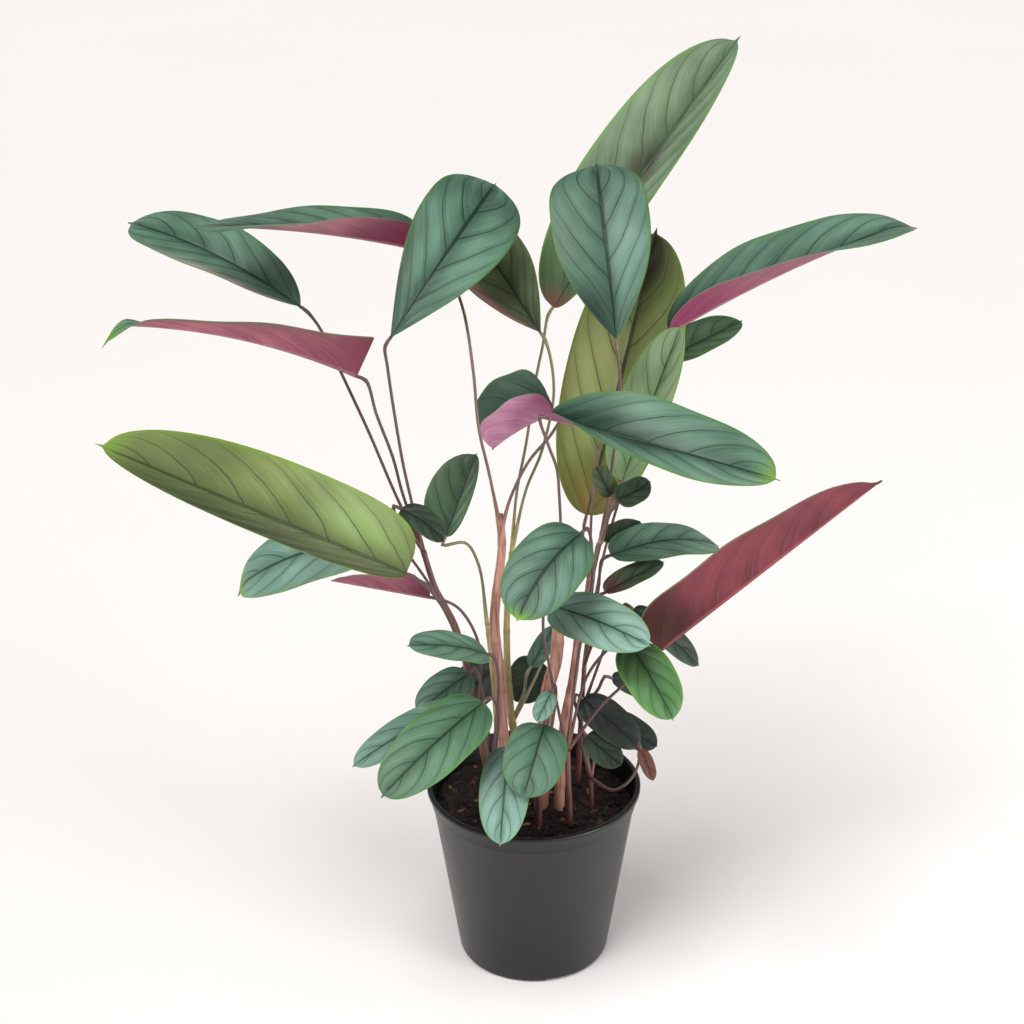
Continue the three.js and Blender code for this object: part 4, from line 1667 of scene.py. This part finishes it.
@dataclass(frozen=True)
class NurseryPot:
    """The moulded pot: a tapered wall with a rolled lip, a step, drain holes and a notched foot."""

    height: float = 150.0
    rim_radius: float = 85.0
    base_radius: float = 60.0
    wall: float = 1.6
    floor: float = 4.0
    lip_width: float = 2.4
    lip_height: float = 4.0
    step_below_rim: float = 17.0
    step_depth: float = 0.9
    notch_width: float = 24.0
    notch_height: float = 2.6
    notch_depth: float = 4.0
    notch_angles: tuple[float, ...] = (-69.0, 21.0, 111.0, 201.0)
    drain_radius: float = 4.0
    drain_circle: float = 42.0
    drain_count: int = 8
    drain_sides: int = 28
    cutter_depth: float = 20.0
    steps: int = 144
    crease: float = 38.0
    weld: float = 1e-6

    def wall_at(self, z: float) -> float:
        """The outer radius of the plain wall at a height."""
        top = self.rim_radius - self.lip_width
        return self.base_radius + (top - self.base_radius) * z / self.height

    def profile(self) -> list[tuple[float, float]]:
        """The section of the pot, from the axis round the outside and back.

        Returns:
            Its corners as radii and heights.
        """
        step, top = self.height - self.step_below_rim, self.height
        proud = self.wall_at(top) + self.step_depth
        inner = self.wall_at(top) - self.wall
        low = top - self.lip_height
        return [
            (0.0, 0.6),
            (self.base_radius - 9.0, 0.6),
            (self.base_radius - 8.0, 0.0),
            (self.base_radius - 3.0, 0.0),
            (self.base_radius - 1.6, 0.3),
            (self.base_radius - 0.6, 1.1),
            (self.base_radius + 0.1, 2.2),
            (self.wall_at(4.5), 4.5),
            (self.wall_at(step - 0.4), step - 0.4),
            (self.wall_at(step) + 0.25, step),
            (self.wall_at(step) + self.step_depth - 0.1, step + 0.8),
            (self.wall_at(step) + self.step_depth + 0.2, step + 1.8),
            (proud - 0.1, low - 0.7),
            (proud + 0.3, low - 0.1),
            (self.rim_radius - 0.5, low + 0.3),
            (self.rim_radius, low + 1.0),
            (self.rim_radius, top - 1.1),
            (self.rim_radius - 0.4, top - 0.35),
            (self.rim_radius - 1.2, top),
            (inner + 0.9, top),
            (inner + 0.2, top - 0.3),
            (inner, top - 1.0),
            (self.wall_at(self.floor + 3) - self.wall, self.floor + 3),
            (self.wall_at(self.floor) - self.wall - 2.5, self.floor),
            (0.0, self.floor),
        ]

    def shell(self) -> bpy.types.Mesh:
        """Spins the section into the pot's plain shell.

        Returns:
            The mesh.
        """
        bm = bmesh.new()
        verts = [bm.verts.new((r * MM, 0.0, z * MM)) for r, z in self.profile()]
        edges = [bm.edges.new(pair) for pair in zip(verts, verts[1:])]
        bmesh.ops.spin(
            bm,
            geom=verts + edges,
            cent=(0.0, 0.0, 0.0),
            axis=(0.0, 0.0, 1.0),
            angle=2 * math.pi,
            steps=self.steps,
            use_merge=True,
        )
        bmesh.ops.remove_doubles(bm, verts=bm.verts[:], dist=self.weld)
        bmesh.ops.recalc_face_normals(bm, faces=bm.faces[:])
        return baked(bm, "nursery_pot")

    def cutter(self) -> bpy.types.Object:
        """Makes the shape that cuts the drain holes and the foot's notches.

        Returns:
            The shape, which is taken away again once the pot is cut.
        """
        bm = bmesh.new()
        for index in range(self.drain_count):
            angle = 2 * math.pi * (index + 0.5) / self.drain_count
            turn = Matrix.Rotation(angle, 4, "Z")
            spot = Matrix.Translation((self.drain_circle * MM, 0.0, 0.0))
            bmesh.ops.create_cone(
                bm,
                cap_ends=True,
                segments=self.drain_sides,
                radius1=self.drain_radius * MM,
                radius2=self.drain_radius * MM,
                depth=self.cutter_depth * MM,
                matrix=turn @ spot,
            )
        for angle in self.notch_angles:
            turn = Matrix.Rotation(math.radians(angle), 4, "Z")
            middle = self.base_radius - self.notch_depth + self.cutter_depth / 2
            spot = Matrix.Translation((middle * MM, 0.0, 0.0))
            sides = (self.cutter_depth * MM, self.notch_width * MM, 2 * self.notch_height * MM)
            size = Matrix.Diagonal((*sides, 1.0))
            bmesh.ops.create_cube(bm, size=1.0, matrix=turn @ spot @ size)
        return linked("pot_cutter", baked(bm, "pot_cutter"))

    def build(self) -> bpy.types.Object:
        """Makes, cuts and dresses the pot.

        Returns:
            The piece.
        """
        rough = linked("pot_shell", self.shell())
        cutter = self.cutter()
        cut = rough.modifiers.new("holes", "BOOLEAN")
        cut.operation = "DIFFERENCE"
        cut.object = cutter
        ready = rough.evaluated_get(bpy.context.evaluated_depsgraph_get())
        mesh = bpy.data.meshes.new_from_object(ready)
        for spent in (rough, cutter):
            bpy.data.objects.remove(spent)
        shaded(mesh, self.crease)
        mesh.materials.clear()
        mesh.materials.append(PotPlastic().material())
        return seat("nursery_pot", mesh, "pot")


@dataclass(frozen=True)
class PottingMix:
    """The soil: a crumbly mound with bark chips lying in it.

    Attributes:
        radius, depth: the disc's radius and the depth of its skirt.
        cells: the faces across the mound.
        crumb, crumb_scale: the height of the crumbs, and how fine they are.
        crumb_layers: how fast their finer layers fade, how much finer each is, and how many.
        dip, dip_scale: the height of the broad dips, and how broad against the crumbs.
        hem: how far the skirt draws in.
        chips, chip_field: how many chips lie in what share of the radius.
        chip_sizes: the least and the greatest size of a chip.
        long_chip, round_chip: how much longer than wide the two kinds are.
        long_kind: the share of round ones.
        chip_tilt, chip_height, chip_rise: how a chip leans, how flat it is and how far it shows.
        chip_rough, chip_grain: how much its corners are moved, and how unevenly.
        seed: what the chips' draws and their corners' noise start from. It isn't 0, because the
            noise would then start from the clock.
    """

    radius: float = 77.6
    cells: int = 120
    depth: float = 14.0
    crumb: float = 2.6
    crumb_scale: float = 0.09
    crumb_layers: tuple[float, float, int] = (0.9, 2.1, 5)
    dip: float = 1.6
    dip_scale: float = 0.35
    hem: float = 0.97
    chips: int = 420
    chip_field: float = 0.95
    chip_sizes: tuple[float, float] = (0.9, 3.4)
    long_chip: tuple[float, float] = (1.2, 2.6)
    round_chip: tuple[float, float] = (0.8, 1.2)
    long_kind: float = 0.55
    chip_tilt: float = 0.7
    chip_height: float = 0.55
    chip_rise: float = 0.12
    chip_rough: float = 0.28
    chip_grain: float = 900.0
    crease: float = 45.0
    seed: int = 7

    def surface(self, x: float, y: float) -> float:
        """The crumbly top.

        Args:
            x: the place to the right, in millimetres.
            y: the place to the back, in millimetres.

        Returns:
            Its height there, in millimetres.
        """
        spot = Vector((x, y, 0.0)) * self.crumb_scale
        lumps = noise.fractal(spot, *self.crumb_layers)
        dips = noise.noise(spot * self.dip_scale)
        return soil_height(x, y) + self.crumb * lumps + self.dip * dips

    def mound(self, bm: bmesh.types.BMesh) -> None:
        """Adds the mound: a square grid eased into a disc, with a skirt under its edge.

        Args:
            bm: the mesh it is added to.
        """
        made = bmesh.ops.create_grid(bm, x_segments=self.cells, y_segments=self.cells, size=1.0)
        for vert in made["verts"]:
            x, y = vert.co.x, vert.co.y
            east = self.radius * x * math.sqrt(1 - y * y / 2)
            north = self.radius * y * math.sqrt(1 - x * x / 2)
            vert.co = Vector((east, north, self.surface(east, north))) * MM
        rim = [edge for edge in bm.edges if edge.is_boundary]
        grown = bmesh.ops.extrude_edge_only(bm, edges=rim)["geom"]
        for vert in only_verts(grown):
            x, y = vert.co.x * self.hem, vert.co.y * self.hem
            vert.co = Vector((x, y, (SOIL_TOP - self.depth) * MM))
        hem = [edge for edge in bm.edges if edge.is_boundary]
        bmesh.ops.edgeloop_fill(bm, edges=hem)

    def scatter(self, bm: bmesh.types.BMesh) -> None:
        """Adds chips, half sunk into the mound.

        Args:
            bm: the mesh they are added to.
        """
        chip = bm.verts.layers.float.new("chip")
        draw = random.Random(self.seed)
        noise.seed_set(self.seed)
        for _ in range(self.chips):
            far = self.radius * self.chip_field * math.sqrt(draw.random())
            angle = draw.uniform(0, 2 * math.pi)
            x, y = far * math.cos(angle), far * math.sin(angle)
            size = draw.uniform(*self.chip_sizes)
            kind = draw.random()
            long = draw.uniform(*(self.long_chip if kind > self.long_kind else self.round_chip))
            turn = Matrix.Rotation(draw.uniform(0, math.pi), 4, "Z")
            lean = draw.uniform(-self.chip_tilt, self.chip_tilt)
            tip = Matrix.Rotation(lean, 4, draw.choice("XY"))
            high = size * self.chip_height
            scale = Matrix.Diagonal((size * long * MM, size * MM, high * MM, 1.0))
            z = self.surface(x, y) + size * self.chip_rise
            spot = Matrix.Translation(Vector((x, y, z)) * MM)
            made = bmesh.ops.create_icosphere(
                bm, subdivisions=1, radius=1.0, matrix=spot @ turn @ tip @ scale
            )
            for vert in made["verts"]:
                vert[chip] = kind
                shift = noise.noise_vector(vert.co * self.chip_grain)
                vert.co += shift * (size * self.chip_rough * MM)

    def build(self) -> bpy.types.Object:
        """Makes and dresses the soil.

        Returns:
            The piece.
        """
        bm = bmesh.new()
        self.mound(bm)
        self.scatter(bm)
        bmesh.ops.recalc_face_normals(bm, faces=bm.faces[:])
        mesh = shaded(baked(bm, "potting_mix"), self.crease)
        mesh.materials.append(PeatMix().material())
        return seat("potting_mix", mesh, "soil")


class Glow(Enum):
    """How a lamp gives its light."""

    WINDOW = "AREA"
    SKYLIGHT = "SUN"


@dataclass(frozen=True)
class Lamp:
    """A soft lamp that looks at a point.

    Attributes:
        name, glow: what it is called, and how it gives its light.
        place, aim: where it stands and what it looks at.
        size: a skylight's angle in degrees, or a window's side in metres.
        power, colour: how bright it is and in what colour.
    """

    name: str
    glow: Glow
    place: Point
    aim: Point
    size: float
    power: float
    colour: Colour = (255, 255, 255)

    def build(self) -> bpy.types.Object:
        """Makes the lamp.

        Returns:
            The lamp.
        """
        data = bpy.data.lights.new(self.name, self.glow.value)
        if self.glow is Glow.SKYLIGHT:
            data.angle = math.radians(self.size)
        else:
            data.shape = "SQUARE"
            data.size = self.size
        data.energy = self.power
        data.color = paint(self.colour)[:3]
        made = linked(self.name, data)
        made.location = self.place
        heading = Vector(self.aim) - Vector(self.place)
        made.rotation_euler = heading.to_track_quat("-Z", "Y").to_euler()
        return made


@dataclass(frozen=True)
class Studio:
    """A pale floor, soft lamps, a surround that is brightest low down, and the camera.

    Attributes:
        eye: the photograph's viewing place.
        tilt: how far the view looks down, in degrees.
        focal_pixels: the photograph's focal length, in its pixels.
        middle: the pixel of the photograph that the view's axis meets.
        window: the centre and width, in its pixels, of the part that is rendered.
        sensor, clip: the camera's sensor in millimetres, and how far it sees.
        floor_radius, floor_sides: the round floor.
        sky, low_light, high_light: the surround's colour, and its strength low down and above.
        fade: the heights of a ray between which the surround goes from low to high light.
        lamps: the lamps.
    """

    eye: Point = (0.0, -1.4, 1.0)
    tilt: float = 23.8
    focal_pixels: float = 844.0
    middle: tuple[float, float] = (512.0, 514.0)
    window: tuple[float, float, float] = (503.0, 513.0, 424.0)
    sensor: float = 36.0
    clip: float = 60.0
    floor_radius: float = 14.0
    floor_sides: int = 96
    sky: Colour = (252, 247, 243)
    low_light: float = 0.95
    high_light: float = 0.3
    fade: tuple[float, float] = (0.05, 0.35)
    lamps: tuple[Lamp, ...] = (
        Lamp("key", Glow.SKYLIGHT, (-0.8, -1.0, 2.7), PLANT_MIDDLE, 38.0, 2.55, (255, 253, 251)),
        Lamp("fill", Glow.SKYLIGHT, (1.6, -0.7, 1.9), PLANT_MIDDLE, 70.0, 0.3, (250, 252, 255)),
        Lamp("side", Glow.WINDOW, (1.3, -0.9, 0.5), (0.0, 0.0, 0.12), 0.7, 15.0),
    )

    def build(self) -> None:
        """Makes the whole studio."""
        self.floor()
        self.surround()
        for lamp in self.lamps:
            lamp.build()
        self.camera()

    def floor(self) -> None:
        """Makes the round floor."""
        bm = bmesh.new()
        bmesh.ops.create_circle(
            bm, cap_ends=True, radius=self.floor_radius, segments=self.floor_sides
        )
        mesh = baked(bm, "studio_floor")
        mesh.materials.append(StudioFloor().material())
        linked("studio_floor", mesh)

    def surround(self) -> None:
        """Sets the light from all round and a plain picture curve."""
        scene = bpy.context.scene
        world = bpy.data.worlds.new("surround")
        world.use_nodes = True
        tree = world.node_tree
        spot = tree.nodes.new("ShaderNodeTexCoord")
        parts = tree.nodes.new("ShaderNodeSeparateXYZ")
        rise = tree.nodes.new("ShaderNodeMapRange")
        rise.interpolation_type = "SMOOTHSTEP"
        rise.inputs["From Min"].default_value = self.fade[0]
        rise.inputs["From Max"].default_value = self.fade[1]
        rise.inputs["To Min"].default_value = self.low_light
        rise.inputs["To Max"].default_value = self.high_light
        back = tree.nodes["Background"]
        back.inputs["Color"].default_value = paint(self.sky)
        tree.links.new(spot.outputs["Generated"], parts.inputs[0])
        tree.links.new(parts.outputs["Z"], rise.inputs["Value"])
        tree.links.new(rise.outputs[0], back.inputs["Strength"])
        scene.world = world
        scene.view_settings.view_transform = "Standard"

    def camera(self) -> None:
        """Makes the camera: the photograph's place and tilt, with the plant filling the view."""
        data = bpy.data.cameras.new("view")
        data.sensor_width = self.sensor
        centre_x, centre_y, wide = self.window
        data.lens = self.sensor * self.focal_pixels / wide
        data.shift_x = (centre_x - self.middle[0]) / wide
        data.shift_y = (self.middle[1] - centre_y) / wide
        data.clip_end = self.clip
        made = linked("view", data)
        made.location = self.eye
        made.rotation_euler = (math.radians(90 - self.tilt), 0.0, 0.0)
        bpy.context.scene.camera = made


def main() -> None:
    """Builds the studio and every piece."""
    logging.basicConfig(level=logging.INFO, format="%(message)s")
    Studio().build()
    pieces = [NurseryPot().build(), PottingMix().build()]
    pieces += Stems().build()
    pieces += Foliage().build()
    for piece in pieces:
        log.info("%s: %d faces", piece.name, len(piece.data.polygons))


if __name__ == "__main__":
    main()
